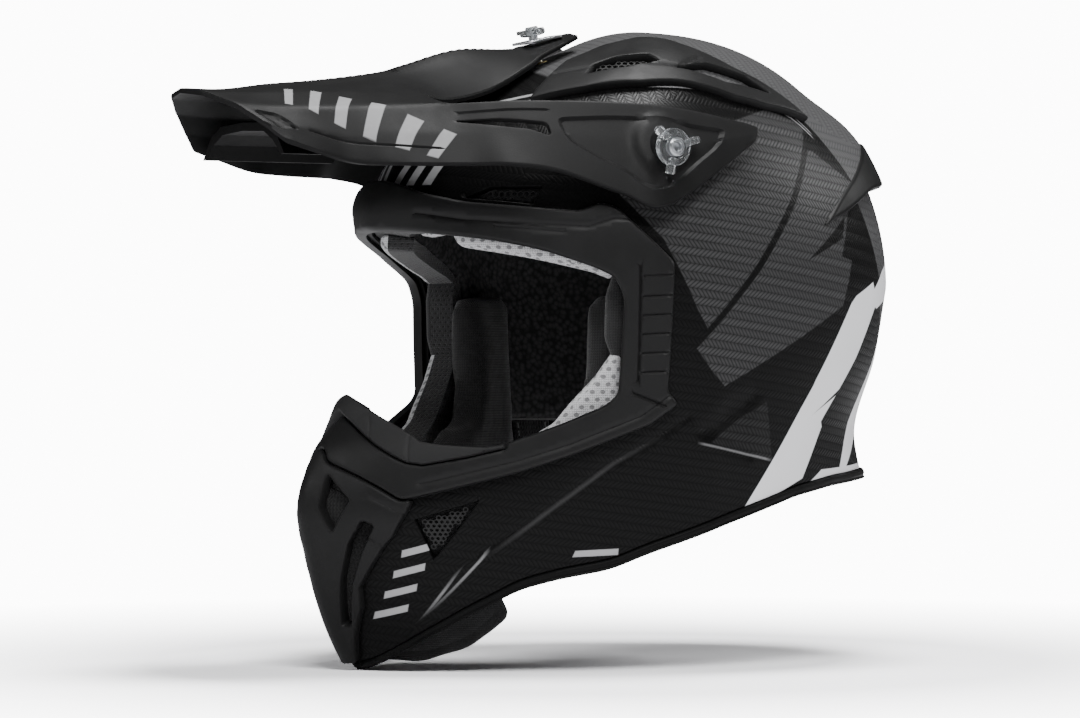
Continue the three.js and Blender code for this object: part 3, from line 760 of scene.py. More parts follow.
def shell_flash(look):
    """Mask of the pale bands on the rear corner, with dark cuts in them."""
    bands = look.union(
        look.polygon([(18, -62), (58, -44), (70, -19), (62, 4), (53, -10)]),
        look.polygon([(53, -10), (70, -19), (82, -3), (94, 15), (113, 39), (106, 52), (90, 45), (77, 33),
                      (62, 4)]),
        look.polygon([(90, 45), (113, 39), (127, 44), (150, 66), (150, 84), (119, 58)]),
        look.polygon([(80, -40), (92, -42), (128, -4), (128, 32), (114, 32), (96, -17)]),
        look.polygon([(62, -47), (130, -42), (130, -37), (72, -40)]),
    )
    cuts = look.union(
        look.polygon([(64, -12), (90, 2), (92, 6)]),
        look.polygon([(74, -36), (78, -33), (102, 2), (98, 2)]),
        look.polygon([(84, 0), (116, 14), (116, 19)]),
    )
    return look.mask(look.min(bands, look.mul(cuts, -1.0)))


def crown_lines(look):
    """Masks of two thin lines along the side of the crown and of the crown above them."""
    bow = look.add(look.y, 8.0)
    drop = look.mul(look.mul(bow, bow), -0.0025)
    late = look.max(look.sub(look.y, 58.0), 0.0)
    line = look.add(look.add(drop, look.mul(look.mul(late, late), -0.02)), 147.2)
    gap = look.abs(look.sub(look.abs(look.sub(look.z, line)), 1.2))
    stripes = look.mul(look.step(gap, 0.55, 0.3), look.step(look.y, 76.0, 74.0))
    crown = look.mask(look.sub(look.z, look.add(line, 6.0)))
    return stripes, look.mul(crown, look.step(look.y, -45.0, -43.0))


def jaw_lines(look):
    """Masks of a painted highlight along the jaw and of two thin lines on the chin."""
    jaw = look.abs(look.union(*look.edges([(-100, -84), (-71, -58), (-45, -36), (-10, -14)])[:3]))
    ends = look.mul(look.step(look.y, -98.0, -80.0), look.step(look.y, -22.0, -50.0))
    # Painted highlight: a thin light line along the jaw groove.
    light = look.mul(look.step(jaw, 1.5, 0.2), ends)
    chin = look.min(look.abs(look.edges([(-118, -112), (-98, -82)])[0]),
                    look.abs(look.edges([(-118, -112), (-100, -74)])[0]))
    area = look.polygon([(-122, -116), (-94, -84), (-94, -72), (-122, -105)])
    return light, look.mul(look.step(chin, 0.9, 0.3), area)


def shell_marks(look):
    """Mask of the plain bars on brow and chin and of the blank plate near the lower edge."""
    brow = look.union(*[look.polygon([(a, 98), (a + 5, 98), (a + 8, 110), (a + 3, 110)], "front")
                        for a in (4, 14, 24)])
    brow = look.mul(look.mask(brow), look.step(look.y, -70.0, -72.0))
    chin = look.union(*[look.polygon([(y, z), (y + 11, z + 4), (y + 11, z + 7.5), (y, z + 3.5)])
                        for y, z in ((-134, -111), (-132, -101), (-130, -91), (-128, -81))])
    plate = look.mask(look.polygon([(-60, -80.5), (-40, -79.5), (-40, -76.5), (-59, -77.5)]))
    return look.max(brow, look.max(look.mask(chin), plate))


def side_slash(look):
    """Masks of the dark slash on the faint panel and of the thin line below it."""
    slash = look.mask(look.polygon([(-7, -26), (-1, -27), (31, -3), (24, -4)]), 0.4)
    line = look.step(look.abs(look.edges([(-7, -26), (37, -35)])[0]), 0.9, 0.2)
    return slash, look.mul(line, look.polygon([(-7, -30), (37, -40), (37, -30), (-7, -22)]))


def woven_shell():
    """Woven composite with grey panels, pale bands and thin lines; the weave's tones carry painted sheen and shade,
    and a painted highlight runs along the jaw.
    """
    look = Look("woven_shell", 0.4, specular=0.09, Coat_Weight=0.03, Coat_Roughness=0.2)
    height, lean = herringbone(look)
    grey_panel, faint_panel = shell_panels(look)
    flash = shell_flash(look)
    stripes, crown = crown_lines(look)
    jaw_highlight, chin_lines = jaw_lines(look)
    marks = shell_marks(look)
    slash, slash_line = side_slash(look)
    cloud = look.step(look.noise(0.012, 3), 0.35, 0.65)
    # The herringbone is the weave's own pattern. Its tones, here and in the crown layer, are painted shade and sheen:
    # each strand is lighter on its raised middle and darker where strands dip, and the two lean directions differ in
    # brightness as painted sheen.
    dark = look.mix(height, grey(0.0008), grey(0.0052))
    left_strand_sheen = look.mix(height, grey(0.007), grey(0.058))
    right_strand_sheen = look.mix(height, grey(0.007), grey(0.049))
    weave_and_sheen = look.mix(look.step(lean, -1.0, 1.0), left_strand_sheen, right_strand_sheen)
    layers = (
        (grey_panel, weave_and_sheen),
        (look.mul(faint_panel, 0.3), weave_and_sheen),
        (crown, look.mix(height, grey(0.045), grey(0.085))),
        (stripes, grey(0.3)),
        # Painted highlight along the jaw.
        (look.mul(jaw_highlight, 0.16), grey(0.2)),
        (look.mul(chin_lines, 0.2), grey(0.3)),
        (slash, grey(0.0012)),
        (look.mul(slash_line, 0.12), grey(0.3)),
        (flash, look.mix(cloud, grey(0.78), grey(0.88))),
        (marks, grey(0.4)),
    )
    tone = dark
    for share, paint in layers:
        tone = look.mix(share, tone, paint)
    look.color(tone)
    look.link(look.add(0.34, look.mul(look.sub(1.0, height), 0.22)), "Roughness")
    covered = look.max(flash, look.max(stripes, marks))
    look.bump(look.mul(height, look.sub(1.0, covered)), 0.5, 0.0003)
    return look.material


def peak_plastic():
    """Matte plastic with slanted pale bars across the front half of each side."""
    look = Look("peak_plastic", 0.52, specular=0.12)
    cloud = look.step(look.noise(0.02, 3), 0.35, 0.65)
    fleck = look.step(look.noise(1.8, 1), 0.3, 0.7)
    shade = look.mix(cloud, grey(0.0065), grey(0.0082))
    shade = look.mix(look.mul(fleck, 0.25), shade, grey(0.0105))
    bars = []
    for start, end in ((0.04, 0.09), (0.19, 0.25), (0.35, 0.42), (0.53, 0.61), (0.73, 0.82), (0.93, 1.0)):
        near = [(14 + 58 * s, -183 + 66 * s) for s in (start, end)]
        far = [(34 + 40 * s, -192 + 64 * s) for s in (start, end)]
        bars.append(look.polygon([far[0], far[1], near[1], near[0]], "top"))
    normal = look.node("ShaderNodeNewGeometry").outputs["True Normal"]
    up = look.node("ShaderNodeSeparateXYZ", normal).outputs[2]
    bars = look.mul(look.mask(look.union(*bars)), look.step(up, -0.05, 0.0))
    worn = look.add(0.82, look.mul(look.noise(0.3, 4), 0.18))
    look.color(look.mix(look.mul(bars, worn), shade, grey(0.3)))
    wear = look.step(look.noise(0.08, 4), 0.45, 0.75)
    look.link(look.add(0.47, look.mul(wear, 0.09)), "Roughness")
    look.bump(look.noise(1.2, 2), 0.2, 0.0002)
    return look.material


def knitted(name, tone, pitch=1.1, tint=None, roughness=0.9, holes=0.0):
    """Knitted cover cloth: short loops in rows, fuzz and, where asked, punched holes, with painted shade in the
    hollows between loops.
    """
    look = Look(name, roughness, specular=0.2, Sheen_Weight=0.25, Sheen_Roughness=0.5)
    a, b = look.flat_place()
    rows = look.sine(look.mul(b, 2 * math.pi / pitch))
    loops = look.sine(look.add(look.mul(a, 2 * math.pi / (pitch * 0.8)), look.mul(rows, 0.9)))
    stitch = look.add(look.mul(rows, 0.25), look.mul(loops, 0.25))
    height = look.add(look.add(stitch, 0.5), look.mul(look.noise(0.9, 3), 0.35))
    base = tint or grey(tone)
    # Painted shade: the tone follows the stitch height, darker in the hollows between loops and lighter on their
    # tops; the fuzz noise in the height adds random tone.
    color = look.mix(height, tuple(c * 0.55 for c in base), tuple(min(1, c * 1.3) for c in base))
    cloud = look.step(look.noise(0.03, 3), 0.3, 0.7)
    color = look.mix(look.mul(cloud, 0.3), color, tuple(c * 0.75 for c in base))
    if holes:
        row = look.floor(look.div(b, holes * 0.87))
        shift = look.mul(look.math("PINGPONG", row, 1.0), 0.5)
        u = look.sub(look.fract(look.add(look.div(a, holes), shift)), 0.5)
        v = look.sub(look.fract(look.div(b, holes * 0.87)), 0.5)
        d = look.math("SQRT", look.add(look.mul(u, u), look.mul(look.mul(v, v), 0.76)))
        hole = look.step(d, 0.27, 0.21)
        color = look.mix(hole, color, tuple(c * 0.4 for c in base))
        height = look.sub(height, look.mul(hole, 1.6))
    look.color(color)
    look.bump(height, 0.6, 0.0004)
    return look.material


def beaded_foam():
    """Moulded foam: dark seams between pale beads."""
    look = Look("beaded_foam", 0.88, specular=0.15)
    cells = look.tree.nodes.new("ShaderNodeTexVoronoi")
    cells.inputs["Scale"].default_value = 0.38
    look.tree.links.new(look.place, cells.inputs["Vector"])
    edge = look.step(cells.outputs["Distance"], 0.25, 0.75)
    look.color(look.mix(edge, grey(0.055), grey(0.022)))
    look.bump(look.sub(1.0, edge), 0.5, 0.0005)
    return look.material


def webbing():
    """Woven strap with a row of stitches along each edge and painted shade between its ribs."""
    look = Look("webbing", 0.8, specular=0.25, Sheen_Weight=0.2)
    ribs = look.sine(look.mul(look.y, 2 * math.pi / 1.6))
    run = look.sine(look.add(look.mul(look.add(look.x, look.z), 2 * math.pi / 1.9), look.mul(ribs, 1.4)))
    height = look.add(look.add(look.mul(ribs, 0.3), look.mul(run, 0.25)), 0.5)
    from_edge = look.abs(look.sub(look.abs(look.sub(look.y, 24.0)), 8.2))
    edge = look.step(from_edge, 0.5, 0.2)
    dash = look.math("GREATER_THAN", look.fract(look.div(look.add(look.x, look.z), 3.2)), 0.35)
    # Painted shade: the strap is darker in the dips between its ribs and lighter on their tops.
    color = look.mix(height, grey(0.006), grey(0.03))
    look.color(look.mix(look.mul(edge, dash), color, grey(0.16)))
    look.bump(height, 0.7, 0.0005)
    return look.material


def metal(name, tint, roughness=0.3, grain=(0.15, 3.0, 3.0)):
    """Brushed metal."""
    look = Look(name, roughness, metallic=1.0)
    stretched = look.node("ShaderNodeVectorMath", look.place, grain, operation="MULTIPLY").outputs[0]
    streak = look.noise(1.0, 4, stretched)
    look.color(look.mix(look.step(streak, 0.3, 0.7), tuple(c * 0.78 for c in tint), tint))
    look.link(look.add(roughness - 0.06, look.mul(streak, 0.16)), "Roughness")
    look.bump(streak, 0.15, 0.0001)
    return look.material


def clear_plastic():
    """Clear plastic with faint scuffs."""
    look = Look("clear_plastic", 0.07, specular=0.5, Transmission_Weight=0.95, IOR=1.49)
    scuff = look.step(look.noise(0.35, 5), 0.45, 0.7)
    look.color(look.mix(scuff, (0.93, 0.95, 0.96), (0.8, 0.83, 0.85)))
    look.link(look.add(0.02, look.mul(scuff, 0.08)), "Roughness")
    look.bump(scuff, 0.1, 0.0001)
    return look.material


M = {
    "shell": woven_shell(),
    "frame": moulded("frame_plastic", 0.0085, 0.5, specular=0.2),
    "nose": moulded("nose_rubber", 0.016, 0.62, grain=2.0, specular=0.2),
    "trim": moulded("edge_rubber", 0.0028, 0.6, grain=0.8, specular=0.12),
    "cover": moulded("cover_plastic", 0.009, 0.5, specular=0.18),
    "mesh": moulded("mesh_plastic", 0.009, 0.5, specular=0.3),
    "spoiler": moulded("spoiler_plastic", 0.0045, 0.5, specular=0.15),
    "mouthpiece": moulded("mouthpiece_plastic", 0.0085, 0.5, specular=0.2),
    "peak": peak_plastic(),
    "duct": moulded("duct_plastic", 0.003, 0.6, specular=0.12),
    "foam": beaded_foam(),
    "knit": knitted("dark_knit", 0.012),
    "cheek": knitted("cheek_knit", 0.02, pitch=1.3),
    "light": knitted("light_knit", 0.6, holes=4.2),
    "open_knit": knitted("open_knit", 0.03, holes=2.6),
    "curtain": knitted("curtain_knit", 0.016, pitch=0.9),
    "filter": knitted("filter_foam", 0.008, pitch=2.0),
    "webbing": webbing(),
    "tab": knitted("tab_tape", 0.2, pitch=0.9, tint=(0.25, 0.02, 0.02)),
    "steel": metal("steel", (0.62, 0.63, 0.65)),
    "brass": metal("brass", (0.72, 0.58, 0.3), 0.32),
    "bright": metal("bright_alloy", (0.8, 0.81, 0.83), 0.28),
    "clear": clear_plastic(),
    "snap": moulded("snap_plastic", 0.012, 0.3),
}


HANDS = (("left", 1), ("right", -1))


def place(obj, body, nodes, slot, padding=None):
    """Tells the frame what a piece rides on and which CAD nodes it stands for. The padding is not used."""
    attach(obj, body)
    if nodes:
        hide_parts(*nodes)
    return obj


# ---------------------------------------------------------------- shell
def port_loop(margin):
    """The eye port's edge round both sides, with the peaked nose line across the face."""
    outline = grown(PORT, margin) if margin else PORT
    half = side_half(outline[7::-1] + outline[:8:-1], 7, 1.4)
    nose = front([(x, z - margin) for x, z in reversed(NOSE_TOP)], 1.4, closed=False)
    half = half[(half[:, 0] > nose[0, 0] + 0.01) | (half[:, 1] > 0)]
    return closed_by_mirror(np.concatenate([half, nose]))


def edge_line(drop):
    """The shell's lower edge, lowered by `drop`."""
    return side_ring([(y, z - drop) for y, z in EDGE], 6, 1.6)


def build_shell():
    holes = both([side(grown(CHIN_VENT, 0.35)), side(grown(BROW_VENT, 0.35)), top(grown(CROWN_VENT, 0.35))])
    holes.append(front(MOUTH_RING))
    jaw = side([(-99, -80), (-83, -67), (-51, -39), (-12, -14)], 1.6, False)
    recess = both([side(rounded([(-11, -22), (8, -30), (29, -38), (22, -16), (26, 1), (8, -5)], 3))])

    def rear_rise(base, out, d):
        """The crown stays high up to the upper edge of the rear fin."""
        y, z = base[:, 1], base[:, 2]
        over = z - np.interp(y, [66, 81, 95, 116, 150], [78, 93, 103, 119, 123])
        level = 0.6 + 6.5 * ease((y - 68) / 60)
        above = ease(1 - (over + 4) / 50)
        below = ease(1 + (over + 4) / 8)
        return level * ease((y - 68) / 12) * np.where(over > -4, above, below)

    shell = patch("woven_shell", [edge_line(0), port_loop(2)] + holes, -4, 0, [M["shell"], M["trim"]],
                  radius=0.7, spacing=3.6, grooves=[(line, 1.6, 0.8) for line in both([jaw])],
                  raised=[(loop, -1.6, 4.5) for loop in recess], wall_slot=1, relief=rear_rise)
    return place(shell, "helmet", ["outer_shell"], "composite")


# ---------------------------------------------------------------- eye port frame, nose, chin
def frame_loop():
    return side_ring(FRAME[9::-1] + FRAME[:9:-1], 2.5, 1.4)


def build_frame():
    notch = front(both_halves([(x, z - 0.35) for x, z in NOSE_LOWER]), 1.4, closed=False)
    outer = frame_loop()
    inner = port_loop(0)
    # The lower middle of the inner edge follows the nose guard's lower line instead of the port.
    keep = (np.abs(inner[:, 0]) > notch[-1, 0]) | (inner[:, 1] > 0)
    middle = len(inner) // 2
    inner = np.concatenate([inner[:middle][keep[:middle]], notch[::-1], inner[middle:][keep[middle:]]])
    ribs = [side([(-23.5, z), (-35, z - 0.7)], 1.0, False) for z in (54, 44.5, 35.5, 26.5, 17.5, 8.5)]
    rim = side([(-36.5, 58), (-36, 4)], 1.2, False)
    brow_line = side([(-27, 79), (-46, 80.5), (-57, 76.5), (-78, 78), (-100, 80), (-112, 83)], 1.4, False)
    low_line = side([(-22, -3), (-34, -13), (-64, -27), (-84, -34.5), (-122, -46)], 1.4, False)
    slot = side([(-66, 74), (-90, 77)], 1.2, False)
    corner = side([(-22, 64), (-36, 76)], 1.2, False)
    fold = side([(-38, -2), (-24, -8)], 1.2, False)
    grooves = [(line, 1.1, 1.0) for line in both(ribs + [rim, corner, fold])]
    grooves += [(line, 1.3, 0.9) for line in both([brow_line, low_line])]
    grooves += [(line, 1.0, 0.7) for line in both([slot])]

    def lip(base, out, d):
        """The brow stands forward like a short visor."""
        return ease((base[:, 2] - 74) / 14) * ease((-base[:, 1] - 70) / 40) * 3.5

    ring = patch("eyeport_ring", [outer, inner], -1.5, 4.5, [M["frame"]], radius=1.8, spacing=2.4,
                 grooves=grooves, relief=lip)
    place(ring, "helmet", ["eyeport_frame"], "frame")


def build_nose():
    bottom = front(both_halves(NOSE_LOWER), 1.4, closed=False)
    inner = port_loop(0)
    arc = inner[(np.abs(inner[:, 0]) < bottom[-1, 0]) & (inner[:, 1] < 0)]
    arc = arc[np.argsort(arc[:, 0])]
    folds = both([front([(16, -15), (22, -27)], 1.2, False), front([(38, -25.5), (41, -36)], 1.2, False)])

    def beak(base, out, d):
        return ease((base[:, 2] + 32) / 22) * ease(1 - np.abs(base[:, 0]) / 34) * 4.0

    nose = patch("nose_rubber_guard", [np.concatenate([bottom, arc[::-1]])], -6, 5.2, [M["nose"]],
                 radius=1.5, spacing=2.2, relief=beak, grooves=[(line, 1.1, 0.6) for line in folds])
    place(nose, "helmet", ["nose_guard"], "nose_rubber")


def build_mouthpiece():
    loop = front(both_halves(MOUTHPIECE), 1.3)
    # Its upper edge ends just below the frame's lower edge.
    edge = frame_loop()
    edge = edge[(np.abs(edge[:, 0]) < 0.5) & (edge[:, 1] < -20)]
    edge = edge[np.argsort(edge[:, 0])]
    ceiling = np.interp(loop[:, 0], edge[:, 0], edge[:, 1]) - 0.4
    loop[:, 1] = np.minimum(loop[:, 1], ceiling)
    keep = np.ones(len(loop), bool)
    keep[1:] = np.linalg.norm(np.diff(point_at(loop[:, 0], loop[:, 1]), axis=0), axis=1) > 0.3
    vents = both([front(rounded(MOUTH_VENT_TOP, 1.5), 1.0), front(rounded(MOUTH_VENT_LOW, 1.2), 1.0)])
    slopes = both([front([(24, -66), (33, -76)], 1.2, False), front([(28, -52), (42, -60)], 1.2, False)])

    def keel(base, out, d):
        x, y, z = base.T
        ridge = ease(1 - np.abs(x) / 7) * 1.6 * ease((-z - 30) / 20)
        shelf = ease((np.abs(x) - 20) / 10) * ease((z + 75) / 14) * 1.0
        return ridge + shelf

    piece = patch("mouthpiece_vented", [loop[keep]] + vents, -3.5, 4.8, [M["mouthpiece"]], radius=1.6,
                  spacing=2.0, relief=keel, grooves=[(line, 1.2, 0.5) for line in slopes])
    place(piece, "helmet", ["chin_mouthpiece"], "mouthpiece")


# ---------------------------------------------------------------- vents, covers, edge
HEX_ROW = 0.866
HEX_CORNER = 0.577


def hexagon(x, y, reach):
    angles = np.arange(6) * math.pi / 3 + math.pi / 6
    return np.stack([x + reach * np.cos(angles), y + reach * np.sin(angles)], -1)


def mesh_panel(name, loop, level, pitch, bar, material, nodes, slot):
    """A panel of open hexagons: each cell is a ring of bars, clipped to the loop."""
    polygon = to_map(loop[:, 0], loop[:, 1])
    t0 = loop[:, 1].mean()
    a0 = math.atan2(np.sin(loop[:, 0]).mean(), np.cos(loop[:, 0]).mean())
    radius = float(np.interp(t0, _levels, _radius))
    middle = point_at(np.array([a0]), np.array([t0]))
    span = np.max(np.linalg.norm(point_at(loop[:, 0], loop[:, 1]) - middle, axis=1)) + pitch
    points, faces = [], []
    count = int(span / pitch) + 1
    for row in range(-count * 2, count * 2 + 1):
        for column in range(-count, count + 1):
            cx = (column + 0.5 * (row % 2)) * pitch
            cy = row * pitch * HEX_ROW
            outer = hexagon(cx, cy, pitch * HEX_CORNER)
            hole = hexagon(cx, cy, (pitch - bar) * HEX_CORNER)
            where = np.concatenate([outer, hole])
            angle = a0 + where[:, 0] / radius
            t = t0 + where[:, 1]
            if not inside(to_map(angle[:6], t[:6]), polygon).all():
                continue
            base = point_at(angle, t)
            out = normal_at(angle, t)
            start = len(points)
            points.extend(base + out * level)
            points.extend(base + out * (level - bar))
            for k in range(6):
                j = (k + 1) % 6
                faces.append((start + k, start + j, start + 6 + j, start + 6 + k))
                faces.append((start + 6 + k, start + 6 + j, start + 18 + j, start + 18 + k))
                faces.append((start + 12 + j, start + 12 + k, start + 18 + k, start + 18 + j))
                faces.append((start + j, start + k, start + 12 + k, start + 12 + j))
    obj = mesh_object(name, np.array(points), faces, [material], sharp=30)
    return place(obj, "helmet", nodes, slot)


def build_meshes():
    panels = (("crown_vent_mesh", top(CROWN_VENT), 2.2, 3.4), ("brow_vent_mesh", side(BROW_VENT), -0.4, 3.4),
              ("chin_vent_mesh", side(CHIN_VENT), -0.4, 2.3))
    for key, loop, level, pitch in panels:
        for hand, sign in HANDS:
            mesh_panel(f"{key}_hex_{hand}", handed(loop, sign), level, pitch, 0.9, M["mesh"],
                       [f"{key}_{hand}"], "mesh")


def build_mouth_filter():
    foam = patch("mouth_filter_foam", [front(grown(MOUTH_RING, -0.4))], -3.4, -1.2, [M["filter"]],
                 radius=0.8, spacing=2.4,
                 relief=lambda base, out, d: 0.3 * np.sin(base[:, 0] * 2.6) * np.sin(base[:, 2] * 2.6))
    place(foam, "helmet", ["mouth_filter"], "filter", 0.3)


def build_covers():
    loops = [top(rounded(CROWN_COVER, 2)), top(rounded(CROWN_VENT, 0.8), 1.0), top(rounded(REAR_SCOOP, 1), 1.0)]
    dent = top([(40, -44), (60, -18), (72, 6), (66, 20)], 1.4, False)

    def scoop(base, out, d):
        return 1.2 * ease(1 - np.abs(np.abs(base[:, 0]) - 62) / 16) * ease(1 - np.abs(base[:, 1] + 10) / 45)

    for hand, sign in HANDS:
        cover = patch(f"crown_cover_{hand}", [handed(loop, sign) for loop in loops], 0.2, 4.2, [M["cover"]],
                      radius=1.3, spacing=2.0, relief=scoop, grooves=[(handed(dent, sign), 1.6, 0.7)])
        place(cover, "helmet", [f"crown_vent_cover_{hand}"], "cover")


def build_spoiler():
    low_half = side_half(FIN_LOWER, 6, 1.5)
    high_half = side_half(FIN_UPPER, 6, 1.5)
    lower = np.concatenate([low_half, mirror_line(low_half)[1:]])
    loop = np.concatenate([lower, mirror_line(high_half)[::-1], high_half[::-1][1:]])

    def fin(base, out, d):
        """Flat on the shell in front, standing proud behind."""
        along = ease((base[:, 1] - 68) / 60)
        return -5.5 * (1 - along) + 1.0 * along

    spoiler = patch("rear_spoiler_fin", [loop], 0.1, 7.2, [M["spoiler"]], radius=2.2, spacing=2.6, relief=fin)
    place(spoiler, "helmet", ["rear_spoiler"], "spoiler")


def build_trim():
    groove = edge_line(3.6)
    trim = patch("edge_trim", [edge_line(0.2), edge_line(5.2)], -8.5, 1.5, [M["trim"]], radius=1.3, spacing=2.0,
                 grooves=[(np.concatenate([groove, groove[:1]]), 0.8, 0.6)])
    place(trim, "helmet", ["base_trim"], "edge_rubber")


def build_curtain():
    outline = [(-145, -127), (-111, -112), (-90, -100), (-84, -112), (-98, -128), (-115, -137), (-145, -138.5)]
    crease = side([(-124, -132), (-112, -130), (-98, -121), (-90, -110)], 1.4, False)
    curtain = patch("chin_curtain_cloth", [side_ring(outline, 4, 1.6)], -13.8, -10, [M["curtain"]],
                    radius=1.5, spacing=2.6, grooves=[(crease, 1.2, 0.5)],
                    relief=lambda base, out, d: 0.5 * np.sin(base[:, 1] * 0.35 + base[:, 2] * 0.2))
    place(curtain, "helmet", ["chin_curtain"], "curtain", 0.3)

# ---------------------------------------------------------------- peak
PEAK_FRONT = [
    [(0, -227, 141.5), (17, -224, 139.5), (33, -214, 133), (44, -204, 124), (51, -196, 116)],
    [(0, -208, 141.5), (20, -203, 139.5), (37, -193, 132), (47, -185, 122), (53, -180, 111)],
    [(0, -184, 144), (24, -180, 140), (42, -172, 132), (51, -166, 119), (56, -162, 106)],
    [(0, -155, 147), (29, -152, 140.5), (48, -147, 133), (60, -143, 119.5), (68, -141, 105.5)],
    [(0, -122, 152), (38, -120, 139.5), (57, -119, 134.5), (71, -116, 120), (81, -114, 105.5)],
]
PEAK_TONGUE = [
    [(0, -107, 156.5), (36, -100, 138.5)], [(0, -77, 165.5), (29, -73, 145)], [(0, -52, 166.3), (22, -48, 157.5)],
    [(0, -42, 167.3), (19, -40, 162.5)], [(0, -24, 171.3), (14, -24, 169.5)], [(0, -13, 176), (12, -15, 174)],
]
PEAK_WING = [
    [(68, -100, 135.5), (80, -98, 121), (92, -98, 105.5)], [(77, -82, 136.3), (89, -78, 121), (100, -77, 102.5)],
    [(91, -46, 136), (102, -44, 118), (111, -50, 92.5)], [(101, -13, 133.5), (111, -19, 115), (118, -27, 87)],
    [(109, 28, 125.5), (110.5, 27, 122), (112, 25, 118.5)],
]
COLUMN_MM = 17.0
ROW_MM = 26.0
CORNER = 0.09


def along_column(points, r):
    """A smooth curve through a column's points, at rows r."""
    points = np.array(points, float)
    r = np.clip(r, 0, len(points) - 1)
    i = np.minimum(r.astype(int), len(points) - 2)
    s = (r - i)[:, None]
    before, a = points[np.maximum(i - 1, 0)], points[i]
    b, after = points[i + 1], points[np.minimum(i + 2, len(points) - 1)]
    return 0.5 * (2 * a + (b - before) * s + (2 * before - 5 * a + 4 * b - after) * s**2
                  + (3 * a - before - 3 * b + after) * s**3)


def peak_columns():
    """Five columns of points, from the middle to the lower edge of the left side."""
    columns = []
    for k in range(5):
        rows = PEAK_FRONT + (PEAK_TONGUE if k < 2 else [])
        columns.append([row[k] for row in rows] + ([row[k - 2] for row in PEAK_WING] if k > 1 else []))
    return columns


class Peak:
    """The peak's upper surface over (column, row). Columns run from -4, the right lower edge, to 4, the left one.
    Rows run from 0, the tip, to 10."""

    columns = peak_columns()

    @classmethod
    def straight(cls, c, lines):
        k = np.clip(np.floor(c).astype(int), 0, 3)
        s = (c - k)[:, None]
        rows = np.arange(len(c))
        return lines[k, rows] * (1 - s) + lines[k + 1, rows] * s

    @classmethod
    def point(cls, c, r):
        side_sign = np.sign(c) + (c == 0)
        c, r = np.abs(np.asarray(c, float)), np.asarray(r, float)
        lines = np.array([along_column(column, r) for column in cls.columns])
        out = cls.straight(c, lines)
        k = np.round(c).astype(int)
        half = CORNER * np.where((k == 1) | (k == 2), ease((4 - r) / 0.7), 1) + 1e-6
        half = np.where((k == 1) & (r > 4), 1e-6, half)
        near = (np.abs(c - k) < half) & (k < 4)
        if near.any():
            low, high = k - half, k + half
            first = cls.straight(np.abs(low), lines)
            first[:, 0] *= np.where(low < 0, -1, 1)
            last = cls.straight(high, lines)
            corner = lines[np.minimum(k, 4), np.arange(len(c))]
            s = ((c - low) / (2 * half))[:, None]
            bend = (1 - s) ** 2 * first + 2 * s * (1 - s) * corner + s**2 * last
            out = np.where(near[:, None], bend, out)
        out[:, 0] *= side_sign
        return out

    @classmethod
    def normal(cls, c, r):
        c, r = np.asarray(c, float), np.asarray(r, float)
        top_row = np.where(np.abs(c) < 1.5, 10, 9) - 0.03
        low_r, high_r = np.clip(r - 0.03, 0, top_row - 0.06), np.clip(r + 0.03, 0.06, top_row)
        low_c, high_c = np.maximum(c - 0.05, -4), np.minimum(c + 0.05, 4)
        back = cls.point(c, high_r) - cls.point(c, low_r)
        over = cls.point(high_c, r) - cls.point(low_c, r)
        out = np.cross(over, back)
        return out / np.maximum(np.linalg.norm(out, axis=-1, keepdims=True), 1e-9)

    @staticmethod
    def to_map(c, r):
        return np.stack([np.asarray(c) * COLUMN_MM, np.asarray(r) * ROW_MM], -1)

    @staticmethod
    def from_map(uv):
        return uv[:, 0] / COLUMN_MM, uv[:, 1] / ROW_MM

    @staticmethod
    def scale(r):
        return np.ones(len(r))

    @staticmethod
    def grid(low, high, spacing):
        rows = []
        for row, v in enumerate(np.arange(low * ROW_MM, high * ROW_MM, spacing * 0.87)):
            u = np.arange(-4 * COLUMN_MM, 4 * COLUMN_MM, spacing) + spacing * 0.5 * (row % 2)
            rows.append(np.stack([u, np.full(len(u), v)], -1))
        return np.concatenate(rows)


def peak_line(points, closed=False, bend=0.0, step=1.8):
    """A line of (column, row) points with its corners rounded by `bend` mm."""
    flat = [(c * COLUMN_MM, r * ROW_MM) for c, r in points]
    if bend:
        flat = rounded(flat, bend, closed)
    return dense(flat, step, closed) / (COLUMN_MM, ROW_MM)


def peak_pair(points, closed=False, bend=0.0, step=1.8):
    """The same line on the left and right half of the peak."""
    line = peak_line(points, closed, bend, step)
    return [line, line[::-1] * (-1, 1)]


SCREW_AT = (-24, 114.6)
SCREW_SEAT_X = 112.7


